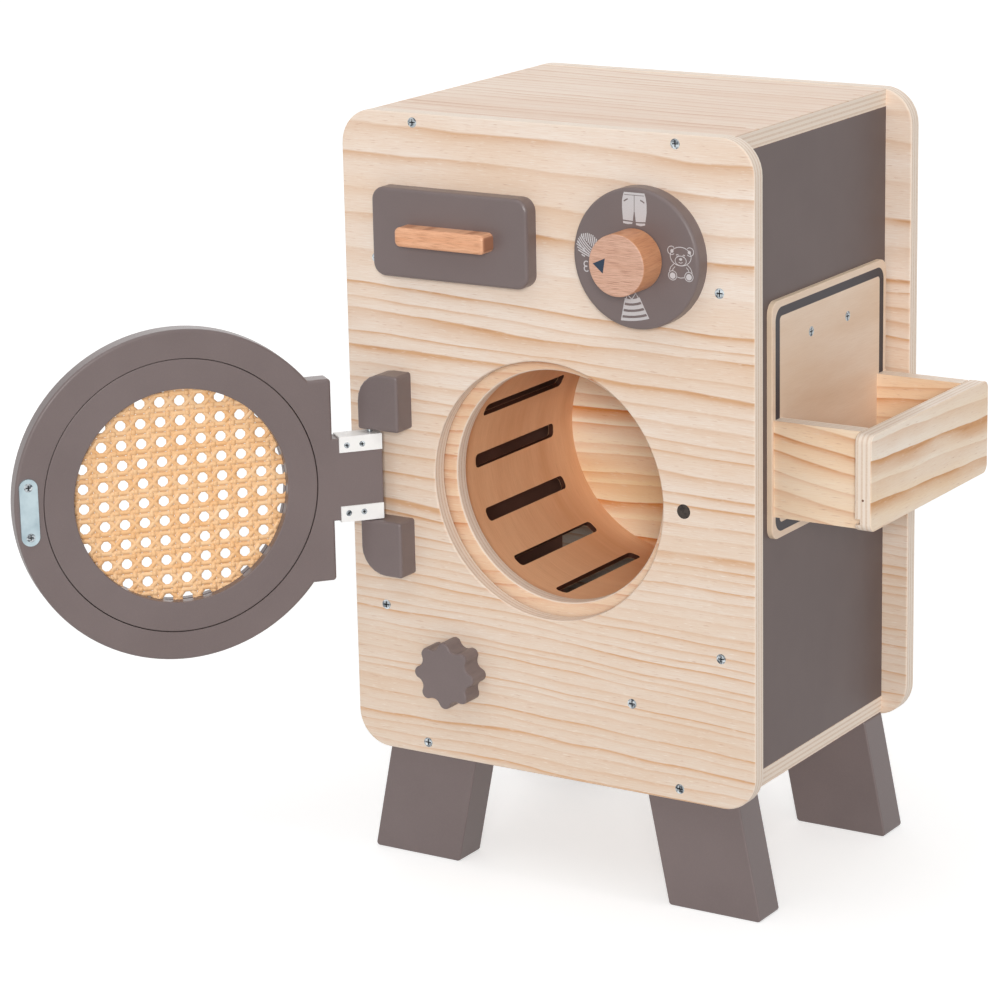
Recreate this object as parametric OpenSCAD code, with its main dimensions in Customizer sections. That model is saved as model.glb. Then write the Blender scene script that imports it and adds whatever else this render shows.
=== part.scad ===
// Wooden toy front-loading washing machine: a plywood cabinet on splayed legs, a slotted
// bent-plywood drum, a round door with cane webbing, a soap drawer, two knobs and a side tray.
// x runs along the front, y runs from the front to the back, z is up.

/* [Cabinet] */
// Width of the front and back panels
panel_width = 322; // [312:1:380]
// Height of the front and back panels
panel_height = 460; // [450:1:520]
// Thickness of the plywood panels
panel_thickness = 12; // [10:0.5:14]
// Distance from the front face to the back face
cabinet_depth = 244; // [225:1:300]
// Corner radius of the front and back panels
panel_corner = 25; // [10:1:40]
// Round-over on the panels' edges
panel_round = 1.2; // [0.5:0.1:2]
// How far the front panel stands out past the side panels
side_overhang = 20; // [14:1:22]
// How far the front panel stands below the bottom panel
bottom_overhang = 2.6; // [1:0.2:6]
// How far the front panel stands above the top panel
top_overhang = 0.6; // [0.2:0.2:4]

/* [Legs] */
// Width of a leg across the front
leg_width = 72; // [50:1:80]
// Thickness of a leg from front to back
leg_thickness = 28; // [20:1:36]
// Height of a leg below the front panel
leg_drop = 83; // [50:1:140]
// How far a foot stands out past the leg's top
leg_splay = 16.5; // [0:0.5:30]
// Corner radius of a leg
leg_corner = 2.5; // [1.5:0.5:5]

/* [Opening and drum] */
// Height of the opening's centre above the front panel's lower edge
opening_height = 205.7; // [200:0.5:212]
// Radius of the opening in the front panel
opening_radius = 91; // [80:1:95]
// Radius of the hole in the drum's front ring
ring_hole_radius = 82; // [70:1:84]
// Inner radius of the bent-plywood drum shell
shell_radius = 88; // [86:0.5:92]
// Thickness of the bent-plywood drum shell
shell_thickness = 4; // [3:0.5:5]
// How far the drum's ring and disc stand past the shell
drum_lip = 6; // [0:1:10]
// Thickness of the drum's front ring and back disc
drum_board = 12; // [8:1:14]
// Distance from the drum's back disc to the bearing block
drum_rear_gap = 19; // [10:1:30]
// Number of slots round the shell
slot_count = 14; // [8:1:18]
// Width of a slot
slot_width = 10; // [8:1:14]
// Corner radius of a slot
slot_corner = 3.5; // [2:0.5:4]
// Distance from the front ring to the near end of a slot
slot_start = 21; // [12:1:30]
// Distance from the far end of a slot to the back disc
slot_rear_gap = 27; // [12:1:40]
// Radius of the drum's axle
axle_radius = 6; // [4:0.5:7]
// Radius of the axle's flange
flange_radius = 22; // [18:1:28]
// Width of the bearing block behind the drum
bearing_width = 70; // [55:1:90]
// Thickness of the bearing block
bearing_thickness = 20; // [14:1:24]

/* [Door] */
// Outer radius of the round door
door_radius = 117; // [114:1:120]
// Thickness of the door
door_thickness = 15; // [14:0.5:16]
// Gap between the closed door and the front panel
door_gap = 3.5; // [3.5:0.1:4.5]
// Distance from the hinge line to the door's centre
door_reach = 137.5; // [136:0.5:140]
// How far the door hangs below the opening's centre
door_drop = 1; // [0:0.1:1.2]
// Angle by which the door stands open
door_open_angle = 129; // [95:1:170]
// Radius of the window in the door
window_radius = 75.5; // [60:0.5:84]
// Radius of the rebate that takes the inner ring
rebate_radius = 97; // [92:0.5:100]
// Depth of the rebate
rebate_depth = 9; // [6:0.5:10]
// Half height of the door's straight hinge edge
tab_half = 72.5; // [71:0.5:76]
// Distance from the hinge line to the straight hinge edge
tab_start = 29.2; // [28:0.2:31]
// Half height of the hinge tongue
tongue_half = 29.5; // [26:0.5:36]
// Distance from the hinge line to the tongue's end
tongue_end = 6.8; // [5:0.1:6.9]
// Thickness of the cane webbing
web_thickness = 1; // [0.8:0.1:1.6]
// Pitch of the holes in the cane webbing
web_pitch = 14; // [11:0.5:18]
// Width of a hole in the cane webbing
web_hole = 7.4; // [4:0.2:8]

/* [Door hardware] */
// Width of a hinge block
block_width = 33.6; // [32.5:0.1:36]
// Height of a hinge block
block_height = 40; // [34:1:42]
// Thickness of a hinge block
block_thickness = 18; // [17:0.5:20]
// Radius of a hinge block's large corner
block_corner = 20; // [10:1:26]
// Gap between the tongue and a hinge block
block_gap = 3; // [2.6:0.1:4]
// Gap between the closed door's shoulder and a hinge block
shoulder_gap = 1; // [0.8:0.1:2]
// Radius of a hinge pin
pin_radius = 2; // [1.5:0.25:2.5]
// How deep a hinge pin reaches into the tongue
pin_depth = 12; // [8:1:18]
// Thickness of a hinge bracket's sheet
bracket_sheet = 1.2; // [0.8:0.1:1.3]
// Height of a hinge bracket's face plate
bracket_height = 11.3; // [10:0.1:14]
// Distance from the hinge line to the bracket's far end
bracket_reach = 24.8; // [23:0.1:26]
// Width of the steel strike plate
strike_width = 12.7; // [10:0.1:15]
// Length of the steel strike plate
strike_length = 47; // [36:1:60]
// Thickness of the steel strike plate
strike_thickness = 1.5; // [1:0.1:1.7]
// Distance from the door's centre to the strike plate and the magnet
strike_offset = 107; // [105:0.5:108]
// Radius of the door magnet
magnet_radius = 5; // [3:0.5:6]
// Depth of the door magnet
magnet_depth = 8; // [4:0.5:9]

/* [Dial] */
// Distance of the dial to the right of the middle
dial_x = 78.5; // [72:0.5:86]
// Distance from the front panel's upper edge down to the dial's centre
dial_drop = 83; // [75:0.5:85]
// Radius of the painted dial plate
dial_radius = 47.5; // [36:0.5:49]
// Thickness of the painted dial plate
dial_thickness = 12; // [8:0.5:15]
// Radius of the turning knob
knob_radius = 20.8; // [14:0.2:26]
// Length of the turning knob
knob_length = 25; // [18:0.5:32]
// Radius of the two knobs' bolts
bolt_radius = 3; // [2:0.25:4]

/* [Filter knob] */
// Distance of the filter knob to the left of the middle
filter_x = 77; // [70:1:90]
// Height of the filter knob's centre
filter_z = 66.5; // [55:0.5:68]
// Radius to the tips of the filter knob's lobes
filter_radius = 24.5; // [22:0.5:26]
// Number of lobes
filter_lobes = 8; // [7:1:9]
// Thickness of the filter knob
filter_thickness = 17; // [12:0.5:24]

/* [Drawer] */
// Distance of the drawer's middle to the left of the middle
drawer_x = 67.5; // [65:0.5:70]
// Distance from the front panel's upper edge down to the drawer's middle
drawer_drop = 81.5; // [65:0.5:90]
// Width of the drawer front
drawer_front_width = 125; // [118:1:128]
// Height of the drawer front
drawer_front_height = 62; // [52:1:66]
// Thickness of the drawer front
drawer_front_thickness = 12; // [8:0.5:16]
// Corner radius of the drawer front
drawer_front_corner = 9.5; // [4:0.5:16]
// Width of the drawer's cut-out in the front panel
drawer_cut_width = 105; // [90:1:107]
// Height of the drawer's cut-out in the front panel
drawer_cut_height = 42; // [36:1:46]
// Length of the drawer box behind the drawer front
drawer_length = 150; // [100:1:190]
// Thickness of the drawer's walls
drawer_wall = 6; // [4:0.5:8]
// Thickness of the drawer's bottom
drawer_floor = 4; // [3:0.5:6]
// Thickness of the drawer's runners
runner_thickness = 6; // [4:0.5:6.5]
// Width of the handle bar
handle_width = 72; // [50:1:90]
// Height of the handle bar
handle_height = 13.5; // [10:0.5:18]
// How far the handle bar stands out
handle_depth = 13; // [9:0.5:20]

/* [Side tray] */
// Distance from the front face to the tray's back plate
tray_plate_start = 54.6; // [40:0.2:60]
// Distance from the tray's back plate to the side panel's rear end
tray_rear_gap = 5.2; // [0:0.2:20]
// Height of the back plate's lower edge
tray_plate_base = 176; // [150:1:200]
// Height of the back plate
tray_plate_height = 165; // [140:1:190]
// Thickness of the back plate and of the tray's bottom
tray_sheet = 4; // [3:0.5:6]
// Corner radius of the back plate
tray_plate_corner = 8.5; // [4:0.5:14]
// How far the tray's side walls lie inside the back plate's edges
tray_inset = 2.1; // [0:0.1:6]
// Thickness of the tray's walls
tray_wall = 12; // [9:0.5:15]
// Length of the tray's side walls
tray_reach = 64.8; // [40:0.2:100]
// Height of the tray's walls
tray_height = 67; // [45:1:90]
// Distance from the back plate's lower edge to the walls' lower edge
tray_lift = 17; // [8:1:30]
// How far the outer board stands past the side walls
tray_ear = 8; // [0:0.5:12]
// Distance from the walls' lower edge to the tray's bottom
tray_floor_lift = 5; // [4:0.5:10]
// Depth of the groove that holds the tray's bottom
tray_groove = 4; // [2:0.5:6]
// Distance between the tray's two screws
tray_screw_spacing = 54.8; // [40:0.2:80]
// How far the pair of screws lies in front of the back plate's middle
tray_screw_shift = 1.7; // [0:0.1:10]
// Distance from the back plate's upper edge down to the screws
tray_screw_drop = 30.3; // [15:0.1:40]

/* [Screws] */
// Head radius of the panel screws
screw_head = 3.5; // [2.5:0.1:4]
// Shank radius of the panel screws
screw_shank = 1.75; // [1:0.05:2]
// Length of the panel screws
screw_length = 30; // [22:1:40]
// Distance of the top and bottom screws from the middle
screw_x = 102.5; // [80:0.5:115]
// Height of the lower side screws
screw_low = 106.5; // [90:0.5:130]
// Distance from the front panel's upper edge down to the upper side screws
screw_top_drop = 103; // [85:0.5:120]
// Distance of the lower front screw to the right of the middle
lower_screw_x = 65.5; // [50:0.5:90]
// Height of the lower front screw
lower_screw_z = 64; // [40:0.5:80]
// Radius of the wooden plugs in the top panel
plug_radius = 4; // [3:0.25:5]
// Depth of the wooden plugs
plug_depth = 5; // [3:0.5:8]
// Distance from the side panels' ends to a plug
plug_inset = 33; // [20:1:50]

/* [Clearances] */
// Radial clearance of turning shafts and of screws in their holes
running_fit = 0.05; // [0.02:0.01:0.1]
// Gap between faces that slide past each other
slide_gap = 0.3; // [0.2:0.05:0.6]
// Gap between the drawer box and its cut-out
drawer_gap = 0.5; // [0.3:0.1:1]
// Gap between the front panel and the turning drum
drum_gap = 3; // [1:0.5:6]

/* [Hidden] */
$fn = 64;

// Colours
pine = [0.86, 0.73, 0.57];
beech = [0.80, 0.60, 0.42];
peach_ply = [0.88, 0.71, 0.54];
taupe = [0.42, 0.37, 0.36];
brown_board = [0.36, 0.24, 0.18];
zinc = [0.68, 0.70, 0.72];
white_steel = [0.92, 0.92, 0.91];
dark_iron = [0.16, 0.15, 0.15];
cane = [0.90, 0.66, 0.40];

// Cabinet
side_face = panel_width / 2 - side_overhang;
side_middle = side_face - panel_thickness / 2;
inner_start = panel_thickness;
inner_end = cabinet_depth - panel_thickness;
inner_depth = inner_end - inner_start;
floor_base = bottom_overhang;
floor_top = floor_base + panel_thickness;
roof_top = panel_height - top_overhang;
roof_base = roof_top - panel_thickness;
side_height = roof_base - floor_top;
panel_screw_spots = [
    for (side = [-1, 1])
        for (spot = [
            [screw_x, roof_base + panel_thickness / 2], [screw_x, floor_base + panel_thickness / 2],
            [side_middle, screw_low], [side_middle, panel_height - screw_top_drop]
        ]) [side * spot[0], spot[1]]
];
lower_screw_length = panel_thickness - 1.5;
plug_spots = [
    for (side = [-1, 1]) for (y = [inner_start + plug_inset, inner_end - plug_inset]) [side * side_middle, y]
];

// Legs
leg_outer_top = side_face + 0.5;
leg_inner_top = leg_outer_top - leg_width;
leg_screw_length = 36;
leg_screw_reach = leg_width / 4;
leg_screw_spots = [leg_inner_top + leg_screw_reach, leg_outer_top - leg_screw_reach];

// Screws
strike_head = 3;
small_head = 2.1;
small_shank = 1.2;
small_length = 9;
recess_width = 0.8;
recess_depth = 0.8;

// Drum, measured along y
drum_start = panel_thickness + drum_gap;
shell_start = drum_start + drum_board;
bearing_start = inner_end - bearing_thickness;
disc_end = bearing_start - drum_rear_gap;
disc_start = disc_end - drum_board;
drum_depth = disc_start - shell_start;
shell_outer = shell_radius + shell_thickness;
ring_outer = shell_outer + drum_lip;
ring_round = 2;
slot_length = drum_depth - slot_start - slot_rear_gap;
slot_middle = shell_start + slot_start + slot_length / 2;
flange_thickness = 4;
flange_screw_circle = flange_radius - 7;
nut_seat = inner_end + panel_thickness / 2;
nut_pocket = axle_radius + 6.5;
washer_thickness = 0.8;
nut_height = 4;
nut_start = nut_seat + slide_gap + washer_thickness;
nut_circle = axle_radius + 3.8;
nut_fit = 0.02;

// Door, with its own axes at the hinge line: x along the door, y through it
hinge_x = -door_reach;
hinge_y = -door_gap - door_thickness / 2;
door_half = door_thickness / 2;
door_round = 2;
rebate_floor = door_half - rebate_depth;
inner_ring_gap = 0.5;
inner_ring_outer = rebate_radius - inner_ring_gap;
inner_ring_start = rebate_floor + web_thickness;
web_radius = rebate_radius - 1.5;
web_shift_x = -2.5;
web_shift_z = -4.2;
web_rows = ceil(window_radius / web_pitch) + 1;
web_margin = window_radius + web_hole / 2 - 1;
tab_corner = 2.5;
tongue_corner = 1.5;
pin_length = pin_depth + block_gap + block_height / 2;
bracket_overhang = tongue_end - 0.5;
bracket_width = bracket_reach + bracket_overhang;
flange_end = door_half - 1;
bracket_screw_spots = [8.2, 19.3];
bracket_screw_rise = (bracket_height - bracket_sheet) / 2;
strike_screw_reach = strike_length / 2 - 6;
block_base = tongue_half + block_gap;
block_start = hinge_x + tab_start - shoulder_gap - block_width;
block_round = 2;
block_screw_x = block_start + block_width - 12;
block_screw_rise = block_height / 2 - 9;
block_screw_length = panel_thickness + block_thickness - 5;

// Knobs
bolt_head_radius = bolt_radius * 2.3;
bolt_head_height = 3;
knob_bore = knob_length - 8;
filter_bore = filter_thickness - 5;
filter_height = filter_thickness - slide_gap;
plate_round = 2.5;
lobe_round = 4.5;
hollow_round = 6;
lobe_turn = 360 / filter_lobes;
lobe_middle = filter_radius - lobe_round;
hollow_middle = lobe_middle * cos(lobe_turn / 2)
    + sqrt(pow(lobe_round + hollow_round, 2) - pow(lobe_middle * sin(lobe_turn / 2), 2));
hollow_x = hollow_middle * cos(lobe_turn / 2);
hollow_y = hollow_middle * sin(lobe_turn / 2);
lobe_sweep = atan2(hollow_y, hollow_x - lobe_middle);
filter_rim = 1.8;
// Outline of the filter knob: a round lobe and a round hollow by turns
lobed_outline = [
    for (i = [0 : filter_lobes - 1]) for (p = concat(
        arc(lobe_middle, 0, lobe_round, -lobe_sweep, lobe_sweep, 8),
        arc(hollow_x, hollow_y, hollow_round, lobe_sweep + 174, lobe_turn - lobe_sweep + 186, 7)
    )) let (t = i * lobe_turn) [p[0] * cos(t) - p[1] * sin(t), p[0] * sin(t) + p[1] * cos(t)]
];

// Heights measured from the front panel's upper edge
dial_z = panel_height - dial_drop;
drawer_z = panel_height - drawer_drop;

// Drawer
cut_left = -drawer_x - drawer_cut_width / 2;
cut_base = drawer_z - drawer_cut_height / 2;
box_width = drawer_cut_width - 2 * drawer_gap;
box_height = drawer_cut_height - slide_gap - drawer_gap;
box_left = cut_left + drawer_gap;
box_base = cut_base + slide_gap;
runner_ledge = drawer_wall + 6;
runner_rise = 24;
handle_corner = 4;
handle_round = 2.5;
handle_screw_reach = handle_width / 2 - 14;
handle_screw_length = drawer_front_thickness + handle_depth - 4;

// Side tray
tray_face = side_face + tray_sheet;
tray_plate_end = inner_end - tray_rear_gap;
tray_plate_width = tray_plate_end - tray_plate_start;
tray_near = tray_plate_start + tray_inset;
tray_far = tray_plate_end - tray_inset;
tray_base = tray_plate_base + tray_lift;
tray_board_start = tray_face + tray_reach;
tray_board_end = tray_board_start + tray_wall;
tray_floor = tray_base + tray_floor_lift;
tray_board_drop = 0.5;
tray_board_corner = 6;
tray_screw_middle = (tray_plate_start + tray_plate_end) / 2 - tray_screw_shift;
tray_screw_spots = [tray_screw_middle - tray_screw_spacing / 2, tray_screw_middle + tray_screw_spacing / 2];
tray_screw_length = tray_sheet + panel_thickness - 3;

// The model's origin lies under the middle of everything, at the feet
door_far = door_reach + door_radius;
left_end = hinge_x + door_far * cos(door_open_angle) - door_half * sin(door_open_angle);
front_end = hinge_y - door_far * sin(door_open_angle) + door_half * cos(door_open_angle);
middle_x = (left_end + tray_board_end) / 2;
middle_y = (front_end + cabinet_depth) / 2;

// Places the cabinet's own axes in the model's axes
module cabinet() translate([-middle_x, -middle_y, leg_drop]) children();

// Stands a flat shape up so that its thickness runs forwards from y
module stand(y) translate([0, y, 0]) rotate([90, 0, 0]) children();

// Lays a revolved shape along +y on an axis through x, z
module along_y(x, z) translate([x, 0, z]) rotate([-90, 0, 0]) children();

// Turns the rear half of the cabinet out of the front half
module rear() translate([0, cabinet_depth, 0]) mirror([0, 1, 0]) children();

// Places the open door
module door() cabinet() translate([hinge_x, hinge_y, opening_height - door_drop])
    rotate([0, 0, -door_open_angle]) children();

// Points on a quarter round from angle a to angle b
function arc(x, y, r, a, b, steps = 5) = [
    for (i = [0 : steps]) let (t = a + (b - a) * i / steps) [x + r * cos(t), y + r * sin(t)]
];

// Flat round disc whose two rims are rounded over by low and high
module puck(r, t, low, high) rotate_extrude($fn = 40) polygon(concat(
    [[0, 0]],
    low > 0 ? arc(r - low, low, low, -90, 0, 4) : [[r, 0]],
    high > 0 ? arc(r - high, t - high, high, 0, 90, 4) : [[r, t]],
    [[0, t]]
));

// Board with rounded corners and rounded edges, lying on z = 0
module soft_board(w, h, t, corner, low, high) hull()
    for (x = [-1, 1]) for (y = [-1, 1])
        translate([x * (w / 2 - corner), y * (h / 2 - corner), 0]) puck(corner, t, low, high);

// Ring whose four edges are rounded over
module soft_ring(inner, outer, t, edge) rotate_extrude() polygon(concat(
    arc(inner + edge, edge, edge, 270, 180, 4), arc(inner + edge, t - edge, edge, 180, 90, 4),
    arc(outer - edge, t - edge, edge, 90, 0, 4), arc(outer - edge, edge, edge, 0, -90, 4)
));

// Round hole through a board of thickness t whose two rims are rounded over
module soft_hole(r, t, edge) rotate_extrude() polygon(concat(
    [[0, -1], [r + edge, -1]],
    [for (p = arc(r + edge, edge, edge, -90, -180, 4)) p],
    [for (p = arc(r + edge, t - edge, edge, 180, 90, 4)) p],
    [[r + edge, t + 1], [0, t + 1]]
));

// Countersunk cross-head screw, head at z = 0 and shank downwards
module screw(length, head = screw_head, shank = screw_shank) difference() {
    union() {
        translate([0, 0, shank - head]) cylinder(h = head - shank, r1 = shank, r2 = head);
        translate([0, 0, -length]) cylinder(h = length - (head - shank) / 2, r = shank);
    }
    for (turn = [0, 90]) rotate([0, 0, turn])
        cube([1.7 * (head - recess_depth), recess_width, recess_depth * 2], center = true);
}

// Hole for that screw
module screw_hole(length, head = screw_head, shank = screw_shank) {
    translate([0, 0, shank - head])
        cylinder(h = head - shank + 0.2, r1 = shank + running_fit, r2 = head + running_fit + 0.2);
    translate([0, 0, -length - 0.5]) cylinder(h = length + 0.5, r = shank + running_fit);
}

// Screws through the front panel, at each x, z of a list; also their holes
module front_row(spots) for (spot = spots) translate([spot[0], 0, spot[1]]) rotate([90, 0, 0]) children();

// Outline shared by the front and back panels
module main_panel() stand(panel_thickness) translate([0, panel_height / 2, 0])
    soft_board(panel_width, panel_height, panel_thickness, panel_corner, panel_round, panel_round);

module front_panel() color(pine) cabinet() difference() {
    main_panel();
    translate([0, 0, opening_height]) stand(panel_thickness)
        soft_hole(opening_radius, panel_thickness, panel_round);
    front_row(panel_screw_spots) screw_hole(screw_length);
    front_row([[lower_screw_x, lower_screw_z]]) screw_hole(lower_screw_length);
    along_y(strike_offset, opening_height) translate([0, 0, -1])
        cylinder(h = magnet_depth + 1, r = magnet_radius + running_fit);
    along_y(dial_x, dial_z) translate([0, 0, -1])
        cylinder(h = panel_thickness + 2, r = bolt_radius + running_fit);
    along_y(-filter_x, filter_z) translate([0, 0, -1])
        cylinder(h = panel_thickness + 2, r = bolt_radius + running_fit);
    translate([cut_left, -1, cut_base]) cube([drawer_cut_width, panel_thickness + 2, drawer_cut_height]);
    block_screw_places() screw_hole(block_screw_length);
}

module back_panel() color(pine) cabinet() difference() {
    rear() main_panel();
    rear() front_row(panel_screw_spots) screw_hole(screw_length);
    along_y(0, opening_height) translate([0, 0, inner_end - 1])
        cylinder(h = panel_thickness + 2, r = axle_radius + running_fit);
    along_y(0, opening_height) translate([0, 0, nut_seat]) cylinder(h = panel_thickness, r = nut_pocket);
}

// Board that spans the inside of the cabinet, level, from height z
module level_board(z) translate([-side_face, inner_start, z])
    cube([2 * side_face, inner_depth, panel_thickness]);

module top_panel() color(pine) cabinet() difference() {
    level_board(roof_base);
    front_row(panel_screw_spots) screw_hole(screw_length);
    rear() front_row(panel_screw_spots) screw_hole(screw_length);
    for (spot = plug_spots) translate([spot[0], spot[1], roof_top - plug_depth])
        cylinder(h = plug_depth + 1, r = plug_radius + running_fit);
}

module bottom_panel() color(pine) cabinet() difference() {
    level_board(floor_base);
    front_row(panel_screw_spots) screw_hole(screw_length);
    rear() front_row(panel_screw_spots) screw_hole(screw_length);
    leg_screw_places() screw_hole(leg_screw_length);
}

module side_board(side) translate([side * side_middle - panel_thickness / 2, inner_start, floor_top])
    cube([panel_thickness, inner_depth, side_height]);

module left_side_panel() color(brown_board) cabinet() difference() {
    side_board(-1);
    front_row(panel_screw_spots) screw_hole(screw_length);
    rear() front_row(panel_screw_spots) screw_hole(screw_length);
}

module right_side_panel() color(brown_board) cabinet() difference() {
    side_board(1);
    front_row(panel_screw_spots) screw_hole(screw_length);
    rear() front_row(panel_screw_spots) screw_hole(screw_length);
    tray_screw_places() screw_hole(tray_screw_length);
}

// Splayed leg under the cabinet's front right corner
module leg_shape() stand(inner_start + leg_thickness) hull()
    for (x = [leg_inner_top + leg_corner, leg_outer_top - leg_corner]) {
        translate([x, floor_base - leg_corner, 0]) puck(leg_corner, leg_thickness, 1.2, 1.2);
        translate([x + leg_splay, leg_corner - leg_drop, 0]) puck(leg_corner, leg_thickness, 1.2, 1.2);
    }

// Screws down through the bottom panel into the legs
module leg_screw_places() for (x = leg_screw_spots) for (side = [-1, 1])
    for (y = [inner_start + leg_thickness / 2, inner_end - leg_thickness / 2])
        translate([side * x, y, floor_top]) children();

module leg(side, at_rear) color(taupe) cabinet() difference() {
    mirror([side < 0 ? 1 : 0, 0, 0])
        if (at_rear) rear() leg_shape(); else leg_shape();
    leg_screw_places() screw_hole(leg_screw_length);
}

module front_left_leg() leg(-1, false);
module front_right_leg() leg(1, false);
module rear_left_leg() leg(-1, true);
module rear_right_leg() leg(1, true);

module leg_screws() color(zinc) cabinet() leg_screw_places() screw(leg_screw_length);
module front_screws() color(zinc) cabinet() front_row(panel_screw_spots) screw(screw_length);
module rear_screws() color(zinc) cabinet() rear() front_row(panel_screw_spots) screw(screw_length);
module lower_front_screw() color(zinc) cabinet()
    front_row([[lower_screw_x, lower_screw_z]]) screw(lower_screw_length);

module top_plugs() color(pine) cabinet() for (spot = plug_spots)
    translate([spot[0], spot[1], roof_top - plug_depth]) cylinder(h = plug_depth, r = plug_radius);

module door_magnet() color(dark_iron) cabinet() along_y(strike_offset, opening_height)
    cylinder(h = magnet_depth, r = magnet_radius);

// Screws from inside the cabinet into the hinge blocks
module block_screw_places() for (side = [-1, 1]) for (rise = [-1, 1])
    translate([block_screw_x, panel_thickness,
        opening_height + side * (block_base + block_height / 2) + rise * block_screw_rise])
        rotate([-90, 0, 0]) children();

// Hinge block above the door's middle, with one large outer corner
module hinge_block(side) color(taupe) cabinet() difference() {
    translate([0, 0, opening_height]) mirror([0, 0, side < 0 ? 1 : 0]) stand(0) hull() {
        translate([block_start + block_round, block_base + block_round, 0])
            puck(block_round, block_thickness, 0, block_round);
        translate([block_start + block_width - block_round, block_base + block_round, 0])
            puck(block_round, block_thickness, 0, block_round);
        translate([block_start + block_width - block_round, block_base + block_height - block_round, 0])
            puck(block_round, block_thickness, 0, block_round);
        for (p = arc(block_start + block_corner, block_base + block_height - block_corner,
                block_corner - block_round, 90, 180, 6))
            translate([p[0], p[1], 0]) puck(block_round, block_thickness, 0, block_round);
    }
    translate([hinge_x, hinge_y, opening_height]) mirror([0, 0, side < 0 ? 1 : 0])
        translate([0, 0, block_base - 1]) cylinder(h = block_height / 2 + 1.5, r = pin_radius + running_fit);
    block_screw_places() screw_hole(block_screw_length);
}

module upper_hinge_block() hinge_block(1);
module lower_hinge_block() hinge_block(-1);
module hinge_block_screws() color(zinc) cabinet() block_screw_places() screw(block_screw_length);

module hinge_pins() color(zinc) cabinet() translate([hinge_x, hinge_y, opening_height])
    for (side = [-1, 1]) mirror([0, 0, side < 0 ? 1 : 0])
        translate([0, 0, tongue_half - pin_depth]) cylinder(h = pin_length, r = pin_radius);

// Places something on the door's inner face, looking outwards, at x, z of the door
module on_door_face(x, z, lift) translate([x, door_half + lift, z]) rotate([-90, 0, 0]) children();

module bracket_screw_places() for (side = [-1, 1]) for (x = bracket_screw_spots)
    on_door_face(x, side * (tongue_half - bracket_screw_rise), bracket_sheet) children();

module strike_screw_places() for (side = [-1, 1])
    on_door_face(door_reach + strike_offset, side * strike_screw_reach, strike_thickness) children();

module door_frame() color(taupe) door() difference() {
    union() {
        difference() {
            translate([door_reach, door_half, 0]) rotate([90, 0, 0])
                puck_fine(door_radius, door_thickness, door_round);
            translate([0, -door_thickness, -door_radius])
                cube([tab_start + tab_corner, 2 * door_thickness, 2 * door_radius]);
        }
        translate([(tab_start + door_reach / 2) / 2, door_half, 0]) rotate([90, 0, 0])
            soft_board(door_reach / 2 - tab_start, 2 * tab_half, door_thickness, tab_corner,
                door_round, door_round);
        translate([(tab_start + 5 - tongue_end) / 2, door_half, 0]) rotate([90, 0, 0])
            soft_board(tab_start + 5 + tongue_end, 2 * tongue_half, door_thickness, tongue_corner, 1, 1);
    }
    translate([door_reach, door_half, 0]) rotate([90, 0, 0]) {
        soft_hole(window_radius, door_thickness, 1);
        translate([0, 0, -1]) cylinder(h = rebate_depth + 1, r = rebate_radius);
    }
    for (side = [-1, 1]) mirror([0, 0, side < 0 ? 1 : 0])
        translate([0, 0, tongue_half - pin_depth - 1 - door_drop])
            cylinder(h = pin_depth + 2 + door_drop, r = pin_radius + running_fit);
    bracket_screw_places() screw_hole(small_length, small_head, small_shank);
    strike_screw_places() screw_hole(small_length, strike_head, small_shank);
}

// Large disc with rounded rims, in fine steps
module puck_fine(r, t, edge) rotate_extrude() polygon(concat(
    [[0, 0]], arc(r - edge, edge, edge, -90, 0, 5), arc(r - edge, t - edge, edge, 0, 90, 5), [[0, t]]
));

module door_inner_ring() color(taupe) door()
    translate([door_reach, door_half, 0]) rotate([90, 0, 0])
        soft_ring(window_radius, inner_ring_outer, door_half - inner_ring_start, 0.8);

// Cane sheet clamped between the frame's rebate and the inner ring, with an eight-sided hole at
// each crossing of its square pattern
module cane_webbing() color(cane) door() translate([door_reach, inner_ring_start, 0]) rotate([90, 0, 0])
    linear_extrude(height = web_thickness) difference() {
        circle(r = web_radius);
        for (column = [-web_rows : web_rows]) for (row = [-web_rows : web_rows])
            let (x = column * web_pitch + web_shift_x, z = row * web_pitch + web_shift_z)
                if (norm([x, z]) < web_margin)
                    translate([x, z]) rotate(22.5) circle(r = web_hole / 2 / cos(22.5), $fn = 8);
    }

// Angle bracket: a plate on the tongue's face and a flange over its end, on the hinge pin
module hinge_bracket(side) color(white_steel) door() difference() {
    mirror([0, 0, side < 0 ? 1 : 0]) {
        translate([-bracket_overhang, door_half, tongue_half + bracket_sheet - bracket_height])
            cube([bracket_width, bracket_sheet, bracket_height]);
        translate([0, -flange_end, tongue_half])
            cube([bracket_reach, flange_end + door_half + bracket_sheet / 2, bracket_sheet]);
        translate([0, 0, tongue_half]) cylinder(h = bracket_sheet, r = flange_end);
        translate([-bracket_overhang, 0, tongue_half])
            cube([bracket_overhang + 1, door_half + bracket_sheet / 2, bracket_sheet]);
    }
    translate([0, 0, -panel_height / 2]) cylinder(h = panel_height, r = pin_radius + running_fit);
    bracket_screw_places() screw_hole(small_length, small_head, small_shank);
}

module upper_hinge_bracket() hinge_bracket(1);
module lower_hinge_bracket() hinge_bracket(-1);
module bracket_screws() color(zinc) door()
    bracket_screw_places() screw(small_length, small_head, small_shank);

module strike_plate() color(zinc) door() difference() {
    translate([door_reach + strike_offset, door_half, 0]) rotate([-90, 0, 0])
        linear_extrude(height = strike_thickness) {
            square([strike_width, strike_length - strike_width], center = true);
            for (side = [-1, 1]) translate([0, side * (strike_length - strike_width) / 2])
                circle(r = strike_width / 2);
        }
    strike_screw_places() screw_hole(small_length, strike_head, small_shank);
}

module strike_plate_screws() color(zinc) door()
    strike_screw_places() screw(small_length, strike_head, small_shank);

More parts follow.
